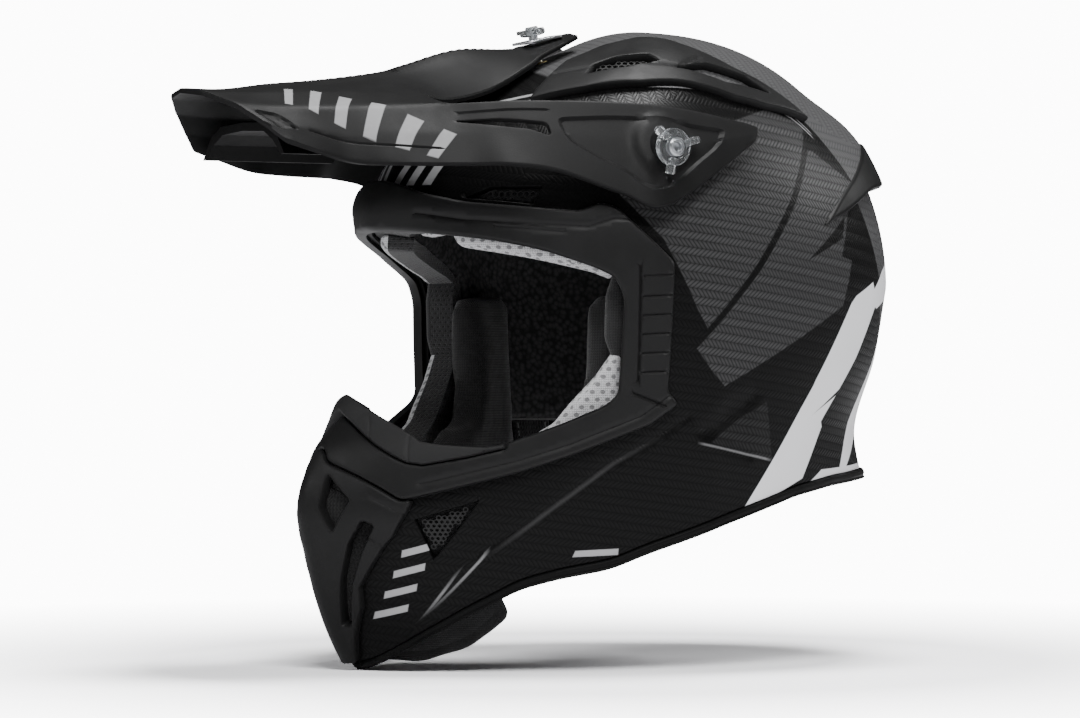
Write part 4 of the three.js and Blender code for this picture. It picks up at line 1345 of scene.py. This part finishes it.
def build_peak():
    line = peak_line([(0, 0), (4, 0), (4, 9), (2, 9), (2, 4.15), (1, 4.15), (1, 10), (0, 10)], False, 3.5)
    outline = np.concatenate([line, (line[::-1] * (-1, 1))[1:-1]])
    slot = [(2.6, 4.1), (2.58, 5.15), (2.7, 6.1), (3.1, 6.05), (2.92, 5.75), (2.8, 5.05)]
    slots = peak_pair(slot, True, 2.0, 1.0)
    intakes = peak_pair([(2.25, 0.35), (2.4, 0.2), (3.3, 0.3), (3.15, 0.85), (2.4, 0.75)], True, 3.0, 1.2)
    panels = peak_pair([(2.52, 6.25), (2.38, 6.9), (2.3, 7.8), (2.5, 8.55), (3.2, 8.5), (3.72, 8.05), (3.72, 7.4),
                        (3.45, 6.6), (3.15, 6.25)], True, 4.0)
    creases = peak_pair([(1, 0.1), (1, 4.0)]) + peak_pair([(2, 0.1), (2, 4.0)]) + peak_pair([(3, 0.1), (3, 8.9)])
    cuts = peak_pair([(2.35, 4.3), (2.3, 5.4), (2.3, 6.2)], False, 2.0)
    cuts += peak_pair([(3.1, 1.1), (3.3, 2.4), (3.5, 3.6)], False, 2.0)

    def shape(base, out, d):
        """A low spine, flat seats under the side screws and a pad under the top bracket."""
        x, y, z = base.T
        spine = 0.8 * ease(1 - np.abs(x) / 9) * ease((y + 205) / 30) * ease((-60 - y) / 30)
        seat = np.clip((SCREW_SEAT_X - np.abs(x)) / np.maximum(np.abs(out[:, 0]), 0.5) - 0.1, -1.0, 2.0)
        from_screw = np.hypot(y - SCREW_AT[0], z - SCREW_AT[1])
        seat = np.where(np.abs(x) > 90, seat * ease((17.5 - from_screw) / 6), 0)
        pad = 0.55 * ease((13 - np.hypot(x, (y + 31) * 0.9)) / 3) * (z > 160)
        return spine + seat + pad

    # The creases have no depth: they only give the mesh edges along the folds.
    peak = patch("peak_moulding", [outline] + slots, -1.3, 1.3, [M["peak"]], radius=0.8, spacing=2.2, on=Peak,
                 relief=shape, sharp=24,
                 grooves=[(line, 1.5, 0.0) for line in creases] + [(line, 1.0, 0.6) for line in cuts],
                 raised=[(loop, -1.2, 1.4) for loop in panels] + [(loop, -1.6, 2.0) for loop in intakes])
    place(peak, "peak", ["peak_shell"], "peak")


# ---------------------------------------------------------------- turned and pressed parts
def joined(name, objects):
    """Several meshes as one object."""
    points, faces, slots, materials = [], [], [], []
    for obj in objects:
        start = len(points)
        points += [obj.matrix_world @ v.co for v in obj.data.vertices]
        faces += [tuple(start + i for i in p.vertices) for p in obj.data.polygons]
        for p in obj.data.polygons:
            material = obj.data.materials[p.material_index]
            if material not in materials:
                materials.append(material)
            slots.append(materials.index(material))
    for obj in objects:
        bpy.data.objects.remove(obj)
    return mesh_object(name, np.array([tuple(p) for p in points]) / MM, faces, materials, slots, 35)


def lathe(name, profile, material, matrix, segments=40):
    """profile is (radius, height) points; height runs along the matrix's Z."""
    points, faces = [], []
    n = len(profile)
    for k in range(segments):
        a = 2 * math.pi * k / segments
        points += [matrix @ Vector((r * math.cos(a), r * math.sin(a), h)) for r, h in profile]
    for k in range(segments):
        j = (k + 1) % segments
        for i in range(n - 1):
            faces.append((k * n + i, j * n + i, j * n + i + 1, k * n + i + 1))
    faces.append(tuple(k * n for k in range(segments))[::-1])
    faces.append(tuple(k * n + n - 1 for k in range(segments)))
    return mesh_object(name, np.array([tuple(p) for p in points]), faces, [material], sharp=40)


def extruded(name, outline, holes, low, high, material, matrix, bevel=0.4):
    """A flat plate with holes and softened edges."""
    loops = [np.array(loop, float) for loop in [outline] + list(holes)]
    flat = np.concatenate(loops)
    edges, start = [], 0
    for loop in loops:
        edges += [(start + i, start + (i + 1) % len(loop)) for i in range(len(loop))]
        start += len(loop)
    result = delaunay_2d_cdt([Vector(p) for p in flat], edges, [], 0, 1e-5)
    places = np.array([tuple(v) for v in result[0]])
    kept = []
    for tri in result[2]:
        centre = places[list(tri)].mean(0)[None]
        hit = inside(centre, loops[0])[0]
        for hole in loops[1:]:
            hit = hit and not inside(centre, hole)[0]
        if hit:
            a, b, c = places[list(tri)]
            turn = (b - a)[0] * (c - a)[1] - (b - a)[1] * (c - a)[0]
            kept.append(tuple(tri) if turn > 0 else tuple(tri)[::-1])
    n = len(places)
    directed = {(t[i], t[(i + 1) % 3]) for t in kept for i in range(3)}
    faces = [t for t in kept] + [tuple(i + n for i in t[::-1]) for t in kept]
    faces += [(j, i, i + n, j + n) for i, j in directed if (j, i) not in directed]
    points = [matrix @ Vector((*p, high)) for p in places] + [matrix @ Vector((*p, low)) for p in places]
    obj = mesh_object(name, np.array([tuple(p) for p in points]), faces, [material], sharp=35)
    modifier = obj.modifiers.new("edges", "BEVEL")
    modifier.width = bevel * MM
    modifier.segments = 2
    modifier.limit_method = "ANGLE"
    modifier.angle_limit = math.radians(35)
    modifier.harden_normals = False
    return applied(obj)


def applied(obj):
    """The object with its modifiers made part of its mesh."""
    graph = bpy.context.evaluated_depsgraph_get()
    mesh = bpy.data.meshes.new_from_object(obj.evaluated_get(graph))
    obj.modifiers.clear()
    obj.data = mesh
    return obj


def round_rect(w, h, radius, centre=(0, 0), turn=0.0):
    """A rectangle's outline with rounded corners."""
    points = rounded([(-w / 2, -h / 2), (w / 2, -h / 2), (w / 2, h / 2), (-w / 2, h / 2)], radius)
    c, s = math.cos(turn), math.sin(turn)
    return [(centre[0] + c * x - s * y, centre[1] + s * x + c * y) for x, y in points]


def along_x(x, y, z, sign=1):
    """A frame whose Z points outwards along X."""
    return Matrix.Translation((x * sign, y, z)) @ Matrix.Rotation(math.radians(90 * sign), 4, "Y")


TONGUE = Matrix.Translation((0, -33, 169.3)) @ Matrix.Rotation(math.atan2(4, 18), 4, "X")
RIVET_AT = (24, 2)


def three_wings(name, matrix, radius, base, top, reach):
    """A clear knob: a turned cap of height `top` on a disc of height `base`, with three wings."""
    profile = [(2.2, -0.2), (radius * 0.62, -0.2), (radius * 0.9, 0.2), (radius, 0.9), (radius, base - 0.5),
               (radius * 0.93, base), (radius * 0.72, base), (radius * 0.66, base - 0.9),
               (radius * 0.52, base - 0.9), (radius * 0.5, top - 0.5), (radius * 0.44, top),
               (radius * 0.3, top), (radius * 0.28, top - 2.4), (0.4, top - 2.4)]
    parts = [lathe("part", profile, M["clear"], matrix, 48)]
    for i in range(3):
        a = i * 2 * math.pi / 3 + 0.3 + math.pi / 2
        centre = (math.cos(a) * reach * 0.72, math.sin(a) * reach * 0.72)
        outline = round_rect(reach * 0.62, 3.2, 1.2, centre, a)
        parts.append(extruded("part", outline, [], base * 0.5, top - 1.2, M["clear"], matrix, 0.5))
    return joined(name, parts)


def build_side_screw(hand, sign):
    matrix = along_x(113.8, *SCREW_AT, sign)
    knob = three_wings(f"side_knob_{hand}", matrix, 9, 4, 7, 13)
    core = lathe("part", [(0.5, -21), (2.1, -21), (2.4, -20.4), (2.4, 3.2), (3.6, 3.4), (3.9, 3.8), (3.9, 5.4),
                          (3.4, 5.9), (2.3, 5.9), (1.9, 4.6), (0.3, 4.4)], M["steel"], matrix, 36)
    screw = joined(f"side_screw_{hand}", [core])
    place(knob, f"side_knob_{hand}", [f"peak_side_knob_{hand}"], "clear")
    place(screw, f"side_knob_{hand}", [], "steel")
    nut = lathe(f"side_insert_{hand}", [(2.9, 0.2), (5.4, 0), (5.95, 0.5), (5.95, 7.3), (5.4, 7.9), (2.9, 7.9)],
                M["brass"], along_x(91, *SCREW_AT, sign))
    place(nut, "helmet", [f"peak_side_insert_{hand}"], "brass")
    boss = lathe(f"peak_boss_{hand}", [(3.2, 0), (9, 0), (8.8, 7), (8.2, 7.9), (3.2, 8.1)], M["peak"],
                 along_x(104.6, *SCREW_AT, sign))
    place(boss, "peak", [], "peak")


def build_strap_anchor(hand, sign):
    matrix = along_x(106, *RIVET_AT, sign)
    rivet = lathe(f"strap_rivet_pin_{hand}", [(0.2, -4.4), (3.6, -4.3), (4.8, -3.4), (5, -2.5), (2.15, -2.45),
                                             (2.15, 3.4), (1.8, 4.1), (0.2, 4.15)], M["steel"], matrix)
    place(rivet, "helmet", [f"strap_rivet_{hand}"], "steel")
    plate = extruded(f"strap_plate_{hand}", round_rect(18, 16, 4), [round_rect(5.1, 5.1, 2.5)], 0.35, 2.0,
                     M["steel"], matrix, 0.5)
    place(plate, "helmet", [f"strap_anchor_plate_{hand}"], "steel")


def build_top_screw():
    knob = three_wings("top_knob_wings", TONGUE @ Matrix.Translation((0, 0, 5.1)), 6.4, 3, 4.6, 7.6)
    screw = lathe("top_screw", [(0.3, -14.6), (2.1, -14.6), (2.4, -14), (2.4, 7), (3, 7.2), (3, 8.6), (2.4, 9),
                                (1.3, 8.2), (0.3, 8.2)], M["steel"], TONGUE)
    place(knob, "top_knob", ["peak_top_knob"], "clear")
    place(screw, "top_knob", [], "steel")
    teeth = [round_rect(1.1, 1.2, 0.3, (x, -6.6 + 3.3 * k)) for x in (-7.3, 7.3) for k in range(6)]
    slot = round_rect(6.4, 17.4, 2.9, (0, 0.2))
    outline = [(-9.5, -7), (-6.5, -9), (6.5, -9), (9.5, -7), (9.5, 11), (6, 13), (-6, 13), (-9.5, 11)]
    bracket = extruded("top_bracket_plate", rounded(outline, 1.5), [slot] + teeth, 1.85, 3.15, M["bright"],
                       TONGUE, 0.25)
    place(bracket, "peak", ["peak_top_bracket"], "bright")
    insert = lathe("top_insert_nut", [(2.9, -17), (4.5, -17.1), (5, -16.6), (5, -8.6), (4.6, -8.1), (2.9, -8.1)],
                   M["brass"], TONGUE)
    place(insert, "helmet", ["peak_top_insert"], "brass")


def paint_duct():
    """The duct plate keeps its CAD shape."""
    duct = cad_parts["peak_duct"]
    duct.data.materials.clear()
    duct.data.materials.append(M["duct"])

# ---------------------------------------------------------------- liners and pads
def inflate(obj, voxel, pressure, cap, frames=20):
    """Swells a closed pad as cloth under pressure. No point moves further than cap, in metres."""
    bpy.context.view_layer.objects.active = obj
    remesh = obj.modifiers.new("voxels", "REMESH")
    remesh.mode = "VOXEL"
    remesh.voxel_size = voxel
    applied(obj)
    before = np.array([v.co[:] for v in obj.data.vertices])
    cloth = obj.modifiers.new("swell", "CLOTH")
    for key, value in {"quality": 6, "mass": 0.3, "tension_stiffness": 12, "compression_stiffness": 12,
                       "bending_stiffness": 1.5, "use_pressure": True,
                       "uniform_pressure_force": pressure}.items():
        setattr(cloth.settings, key, value)
    cloth.settings.effector_weights.gravity = 0
    cloth.collision_settings.use_collision = False
    cloth.point_cache.frame_start = 1
    cloth.point_cache.frame_end = frames
    scene = bpy.context.scene
    for number in range(1, frames + 1):
        scene.frame_set(number)
    graph = bpy.context.evaluated_depsgraph_get()
    moved = bpy.data.meshes.new_from_object(obj.evaluated_get(graph))
    after = np.array([v.co[:] for v in moved.vertices])
    shift = after - before
    length = np.linalg.norm(shift, axis=1, keepdims=True)
    shift *= np.minimum(1, cap / np.maximum(length, 1e-9))
    obj.modifiers.clear()
    scene.frame_set(1)
    obj.data.vertices.foreach_set("co", (before + shift).ravel())
    obj.data.update()
    smooth_by_angle(obj, 60)
    subdivide = obj.modifiers.new("smooth", "SUBSURF")
    subdivide.levels = 1
    subdivide.render_levels = 1
    applied(obj)
    smooth_by_angle(obj, 70)
    return obj


def port_side(margin, start_y):
    """The rear and upper part of the port's edge in side view, from start_y on its lower edge."""
    g = grown(PORT, margin)
    (ay, az), (by, bz) = g[14], g[15]
    if start_y < ay:
        (ay, az), (by, bz) = g[13], g[14]
    share = (start_y - ay) / (by - ay)
    first = (start_y, az + (bz - az) * share)
    after = [p for p in g[14:] if p[0] > start_y]
    return [first] + after + g[:8]


LINER_GAP = 4.4
STRAP_ROOM_X = 97.5


def build_crown_liner():
    lower = [(190, -30.5), (106, -33), (84, -34), (70, -20), (2, -20), (-5, -56.5), (-26, -63.5), (-43, -71.5),
             (-60, -77)]

    def strap_room(base, out):
        """The strap swings between liner and shell."""
        y, z = base[:, 1], base[:, 2]
        swept = ease((22 + (16 - z) * 0.3 - np.abs(y - 26)) / 6) * ease((24 - z) / 6)
        return -swept * np.clip(np.abs(base[:, 0]) - LINER_GAP - STRAP_ROOM_X, 0, 18)

    liner = patch("crown_liner_foam", [side_ring(lower + port_side(4, -60), 3, 2.0)], -LINER_GAP, -26,
                  [M["foam"], M["open_knit"]], radius=3.5, spacing=4.5, under=strap_room,
                  wall_slot=1, ring_at=(0.12, 0.3, 0.6))
    place(liner, "helmet", ["crown_liner"], "energy_foam")


def build_chin_liner():
    outline = [(-190, -132.5), (-133, -130.5), (-116, -113), (-102, -101.5), (-81, -87.5), (-65, -82.5),
               (-64, -80), (-64, -22)]
    low_half = side_half(outline, 2, 2.0)
    port = port_loop(4)
    reach = port[: len(port) // 2 + 1]
    lower_edge = reach[(reach[:, 1] < -5) & (point_at(reach[:, 0], reach[:, 1])[:, 1] < -66)]
    loop = closed_by_mirror(np.concatenate([low_half, lower_edge]))
    liner = patch("chin_liner_foam", [loop], -LINER_GAP, -15, [M["curtain"], M["open_knit"]], radius=3.0, spacing=4.0,
                  face_slot=lambda centres: np.where(np.abs(centres[:, 0]) > 26, 1, 0))
    place(liner, "helmet", ["chin_liner"], "energy_foam")


def build_port_rolls():
    """Fabric rolls that stand into the eye port from behind its frame."""
    corner = [(-37, 17.5), (-41, 17.5), (-48, 5), (-58, -8), (-64, -17), (-76, -25), (-76, -32), (-60, -27),
              (-36, -12)]
    brow = [(-40, 55), (-43, 52), (-50, 55.5), (-72, 62), (-96, 68), (-98, 76), (-75, 71.5), (-50, 62)]
    rear = [(-36, 14), (-41, 14), (-44.5, 24), (-44.5, 44), (-42, 54), (-38, 58), (-35, 40)]
    rolls = (("corner", corner, "light", "light_knit"), ("brow", brow, "light", "light_knit"),
             ("rear", rear, "cheek", "comfort"))
    for label, outline, material, slot in rolls:
        loop = side_below(rounded(outline, 2.5), -12, 1.6)
        for hand, sign in HANDS:
            roll = patch(f"port_roll_{label}_{hand}", [handed(loop, sign)], -25, -8,
                         [M[material], M["open_knit"]], radius=4, spacing=2.6,
                         wall_slot=1, under_slot=1, ring_at=(0.1, 0.3, 0.6))
            place(roll, "helmet", [], slot, 0.5)


def channels(lines, half=2.6, depth=2.2):
    """Sewn channels: grooves along lines."""
    return [(line, half, depth) for line in lines]


def cushion(name, loop, low, high, material, swell, where, **shape):
    """A pad swollen as cloth. swell is (voxel, pressure, cap); where is (body, node, slot, padding)."""
    pad = patch(name, [loop], low, high, [M[material]], **shape)
    inflate(pad, *swell)
    body, node, slot, padding = where
    place(pad, body, [node], slot, padding)


def build_cheek_pads():
    outline = [(-41, 48), (-47, -12), (-64, -26), (-68, -52), (-44, -70), (-12, -62), (-2, -40), (-2, 50)]
    loop = side_below(grown(rounded(outline, 9), -2.5), -34, 2.2)
    # Only the first part of each closed outline is the seam.
    seam = side_below([(-44, -14), (-24, -20), (-3, -22), (-24, -20.5)], -34, 2.2)[:22]
    seam_up = side_below([(-22, -22), (-24, 12), (-20, 44), (-24.5, 12)], -34, 2.2)[:32]
    for hand, sign in HANDS:
        cushion(f"cheek_cushion_{hand}", handed(loop, sign), -27.5, -42.5, "cheek", (0.0045, 3.0, 0.0035),
                (f"cheek_{hand}", f"cheek_pad_{hand}", "cheek", 0.75), radius=9, spacing=4.0,
                grooves=channels([handed(seam, sign), handed(seam_up, sign)], 3.2, 2.6),
                ring_at=(0.1, 0.25, 0.45, 0.7))
        path = [(x * sign, z) for x, z in ((63.4, -71), (63.9, -78), (63.6, -82.5), (63.0, -83.6))]
        tab = ribbon(f"release_tab_{hand}", path, 13, 1.6, M["tab"], -24, 0.6)
        place(tab, f"cheek_{hand}", [f"cheek_release_tab_{hand}"], "tab")


def build_crown_pad():
    outline = [(-190, 150), (-66, 122), (-52, 74), (100, 72), (116, 96), (190, 128)]
    lines = both([side(points, 2.4, False) for points in (
        [(-40, 78), (-30, 132), (10, 160)], [(20, 76), (30, 130), (34, 158)], [(78, 80), (74, 126), (58, 154)])])
    cushion("crown_cushion", side_ring(outline, 9, 2.4), -27, -35.5, "knit", (0.005, 2.0, 0.002),
            ("helmet", "crown_pad", "comfort", 0.55), radius=6, spacing=4.5, grooves=channels(lines),
            ring_at=(0.15, 0.4, 0.7))


def build_brow_pad():
    outline = [(-190, 112), (-97, 104), (-88, 90), (-97, 78), (-190, 80)]
    cushion("brow_cushion", side_ring(outline, 5, 2.0), -27, -35, "light", (0.004, 2.5, 0.002),
            ("helmet", "brow_pad", "light_knit", 0.6), radius=5, spacing=3.6, ring_at=(0.15, 0.4, 0.7),
            grooves=channels([side([(-118, 92), (-92, 90)], 2.0, False)], 2.0, 1.2))


def build_neck_roll():
    outline = [(190, -20), (70, -27), (70, 12), (190, 18)]
    cushion("neck_cushion", side_ring(outline, 7, 2.4), -27, -37, "knit", (0.0045, 3.0, 0.003),
            ("helmet", "neck_roll", "comfort", 0.7), radius=8, spacing=4.0, ring_at=(0.12, 0.3, 0.6),
            grooves=channels(both([side([(96, -22), (98, 14)], 2.2, False)])))


# ---------------------------------------------------------------- chin strap
def ribbon(name, path, width, thick, material, y, edge=0.7, step=2.0, ripple=0.0):
    """A flat band across Y that follows a path of (x, z)."""
    line = dense(path, step, closed=False)
    tangent = np.gradient(line, axis=0)
    tangent /= np.linalg.norm(tangent, axis=1, keepdims=True)
    out = np.stack([tangent[:, 1], -tangent[:, 0]], -1)
    w, h = width / 2, thick / 2
    section_points = [(-w, 0), (-w + edge * 0.3, h * 0.7), (-w + edge, h)]
    section_points += [(-w + edge + (width - 2 * edge) * k / 6, h) for k in range(1, 7)]
    section_points += [(w - edge * 0.3, h * 0.7), (w, 0), (w - edge * 0.3, -h * 0.7), (w - edge, -h)]
    section_points += [(w - edge - (width - 2 * edge) * k / 6, -h) for k in range(1, 7)]
    section_points += [(-w + edge * 0.3, -h * 0.7)]
    n = len(section_points)
    points, faces = [], []
    for i, (x, z) in enumerate(line):
        for a, b in section_points:
            lift = ripple * math.sin(i * 0.35 + a * 0.2)
            points.append((x + out[i, 0] * (b + lift), y + a, z + out[i, 1] * (b + lift)))
    for i in range(len(line) - 1):
        for k in range(n):
            j = (k + 1) % n
            faces.append((i * n + k, (i + 1) * n + k, (i + 1) * n + j, i * n + j))
    faces.append(tuple(range(n)))
    faces.append(tuple((len(line) - 1) * n + k for k in range(n))[::-1])
    obj = mesh_object(name, np.array(points), faces, [material], sharp=50)
    return fix_outward(obj)


def fix_outward(obj):
    """Turns all faces outwards."""
    made = bmesh.new()
    made.from_mesh(obj.data)
    bmesh.ops.recalc_face_normals(made, faces=made.faces)
    made.to_mesh(obj.data)
    made.free()
    return obj


def bar_ring(name, corners, radius, material, y, z):
    """A closed bar bent round rounded corners, lying level."""
    path = dense(rounded(corners, 3.2), 0.9)
    n = len(path)
    tangent = np.roll(path, -1, 0) - np.roll(path, 1, 0)
    tangent /= np.linalg.norm(tangent, axis=1, keepdims=True)
    out = np.stack([tangent[:, 1], -tangent[:, 0]], -1)
    points, faces = [], []
    around = 12
    for i in range(n):
        for k in range(around):
            a = 2 * math.pi * k / around
            x, across = path[i] + out[i] * (radius * math.cos(a))
            points.append((x, y + across, z + radius * 0.88 * math.sin(a)))
    for i in range(n):
        for k in range(around):
            j, m = (i + 1) % n, (k + 1) % around
            faces.append((i * around + k, j * around + k, j * around + m, i * around + m))
    obj = mesh_object(name, np.array(points), faces, [material], sharp=60)
    return fix_outward(obj)


def build_strap():
    runs = (("left", 1, 3), ("right", -1, -14))
    for hand, sign, end in runs:
        path = [(105, 11), (105, -11.5), (97, -46.8), (58.5, -61.2)]
        path = rounded([(x * sign, z) for x, z in path] + [(end, -61.2)], 4, closed=False)
        web = ribbon(f"strap_web_{hand}", path, 21.6, 1.6, M["webbing"], RIVET_AT[0], ripple=0.08)
        place(web, "chin_strap", [f"strap_{hand}"], "webbing")
    half = 12.0
    for label, x, z in (("upper", -12.4, -63.6), ("lower", -10.4, -66.2)):
        corners = [(x + 1.25, -half + 1.25), (x + 9.4, -half + 1.25), (x + 10.8, 0), (x + 9.4, half - 1.25),
                   (x + 1.25, half - 1.25)]
        ring = bar_ring(f"ring_{label}", corners, 1.2, M["steel"], RIVET_AT[0], z)
        place(ring, "chin_strap", [f"strap_ring_{label}"], "steel")
    snap = lathe("strap_snap_cap", [(0.2, 0), (4.2, 0.1), (5.3, 0.5), (6.2, 1.6), (6.4, 2.4), (0.2, 2.4)],
                 M["snap"], Matrix.Translation((32, RIVET_AT[0], -64.7)))
    place(snap, "chin_strap", ["strap_snap"], "snap")


build_shell()
build_frame()
build_nose()
build_mouthpiece()
build_meshes()
build_mouth_filter()
build_covers()
build_spoiler()
build_trim()
build_curtain()
build_peak()
for hand_name, hand_sign in HANDS:
    build_side_screw(hand_name, hand_sign)
    build_strap_anchor(hand_name, hand_sign)
build_top_screw()
paint_duct()
build_crown_liner()
build_chin_liner()
build_port_rolls()
build_cheek_pads()
build_crown_pad()
build_brow_pad()
build_neck_roll()
build_strap()


# ---------------------------------------------------------------- floor, light, camera
FLOOR_GAIN = 1.8
FLOOR_REACH = 12
SKY_SEEN = 12.0
SKY_LIGHT = 0.06


def build_floor():
    """A pale floor that takes the helmet's shadow near it and turns as bright as the sky further out."""
    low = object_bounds()[0][2]
    corners = [(x * FLOOR_REACH, y * FLOOR_REACH, low) for x, y in ((-1, -1), (1, -1), (1, 1), (-1, 1))]
    mesh = bpy.data.meshes.new("studio_floor")
    mesh.from_pydata(corners, [], [(0, 1, 2, 3)])
    floor = bpy.data.objects.new("studio_floor", mesh)
    bpy.context.scene.collection.objects.link(floor)
    look = Look("pale_floor", 0.9, specular=0.0)
    cloud = look.step(look.noise(0.004, 2), 0.3, 0.7)
    seen = look.node("ShaderNodeLightPath").outputs["Is Camera Ray"]
    look.color(look.mix(cloud, grey(0.84), grey(0.88)))
    shade = look.node("ShaderNodeBsdfDiffuse")
    look.tree.links.new(look.mix(cloud, grey(FLOOR_GAIN * 0.98), grey(FLOOR_GAIN)), shade.inputs["Color"])
    glow = look.node("ShaderNodeEmission", (1.0, 1.0, 1.0, 1.0), SKY_SEEN)
    away = look.node("ShaderNodeVectorMath", look.place, operation="LENGTH").outputs["Value"]
    near_far = look.node("ShaderNodeMixShader", look.step(away, 260.0, 620.0), shade.outputs[0], glow.outputs[0])
    out = look.node("ShaderNodeMixShader", seen, look.shader.outputs[0], near_far.outputs[0])
    look.tree.links.new(out.outputs[0], look.tree.nodes["Material Output"].inputs["Surface"])
    mesh.materials.append(look.material)
def build_sky():
    """Plain white, bright where the camera sees it and dim as a light."""
    world = bpy.data.worlds.new("studio_sky")
    bpy.context.scene.world = world
    world.use_nodes = True
    nodes, links = world.node_tree.nodes, world.node_tree.links
    background = nodes["Background"]
    path = nodes.new("ShaderNodeLightPath")
    strength = nodes.new("ShaderNodeMapRange")
    strength.inputs[3].default_value = SKY_LIGHT
    strength.inputs[4].default_value = SKY_SEEN
    links.new(path.outputs["Is Camera Ray"], strength.inputs[0])
    links.new(strength.outputs[0], background.inputs["Strength"])
    background.inputs["Color"].default_value = (1, 1, 1, 1)

def soft_light(name, place_at, size, power):
    """An area light aimed at the middle of the helmet."""
    data = bpy.data.lights.new(name, "AREA")
    data.shape = "RECTANGLE"
    data.size, data.size_y = size
    data.energy = power
    light = bpy.data.objects.new(name, data)
    bpy.context.scene.collection.objects.link(light)
    light.location = place_at
    aim = Vector((0, 0, 0.03)) - Vector(place_at)
    light.rotation_euler = aim.to_track_quat("-Z", "Y").to_euler()


def build_camera(azimuth, distance, lens, target):
    """A level camera that looks at the target from `azimuth` degrees round from the face."""
    data = bpy.data.cameras.new("camera")
    data.sensor_width = 36
    data.lens = lens
    camera = bpy.data.objects.new("camera", data)
    bpy.context.scene.collection.objects.link(camera)
    back = Vector((math.sin(math.radians(azimuth)), -math.cos(math.radians(azimuth)), 0))
    camera.location = target + back * distance
    camera.rotation_euler = (-back).to_track_quat("-Z", "Y").to_euler()
    bpy.context.scene.camera = camera


build_floor()
build_sky()
soft_light("overhead", (0.1, 0.1, 1.9), (0.5, 0.5), 42)
soft_light("key", (1.3, -0.6, 1.5), (0.9, 0.7), 34)
soft_light("front_fill", (-0.3, -1.9, 1.1), (0.8, 0.6), 12)
soft_light("rear_rim", (0.5, 1.8, 1.1), (0.8, 0.6), 16)
build_camera(60, 2.2, 146.67, Vector((-0.0130, -0.0225, 0.0140)))
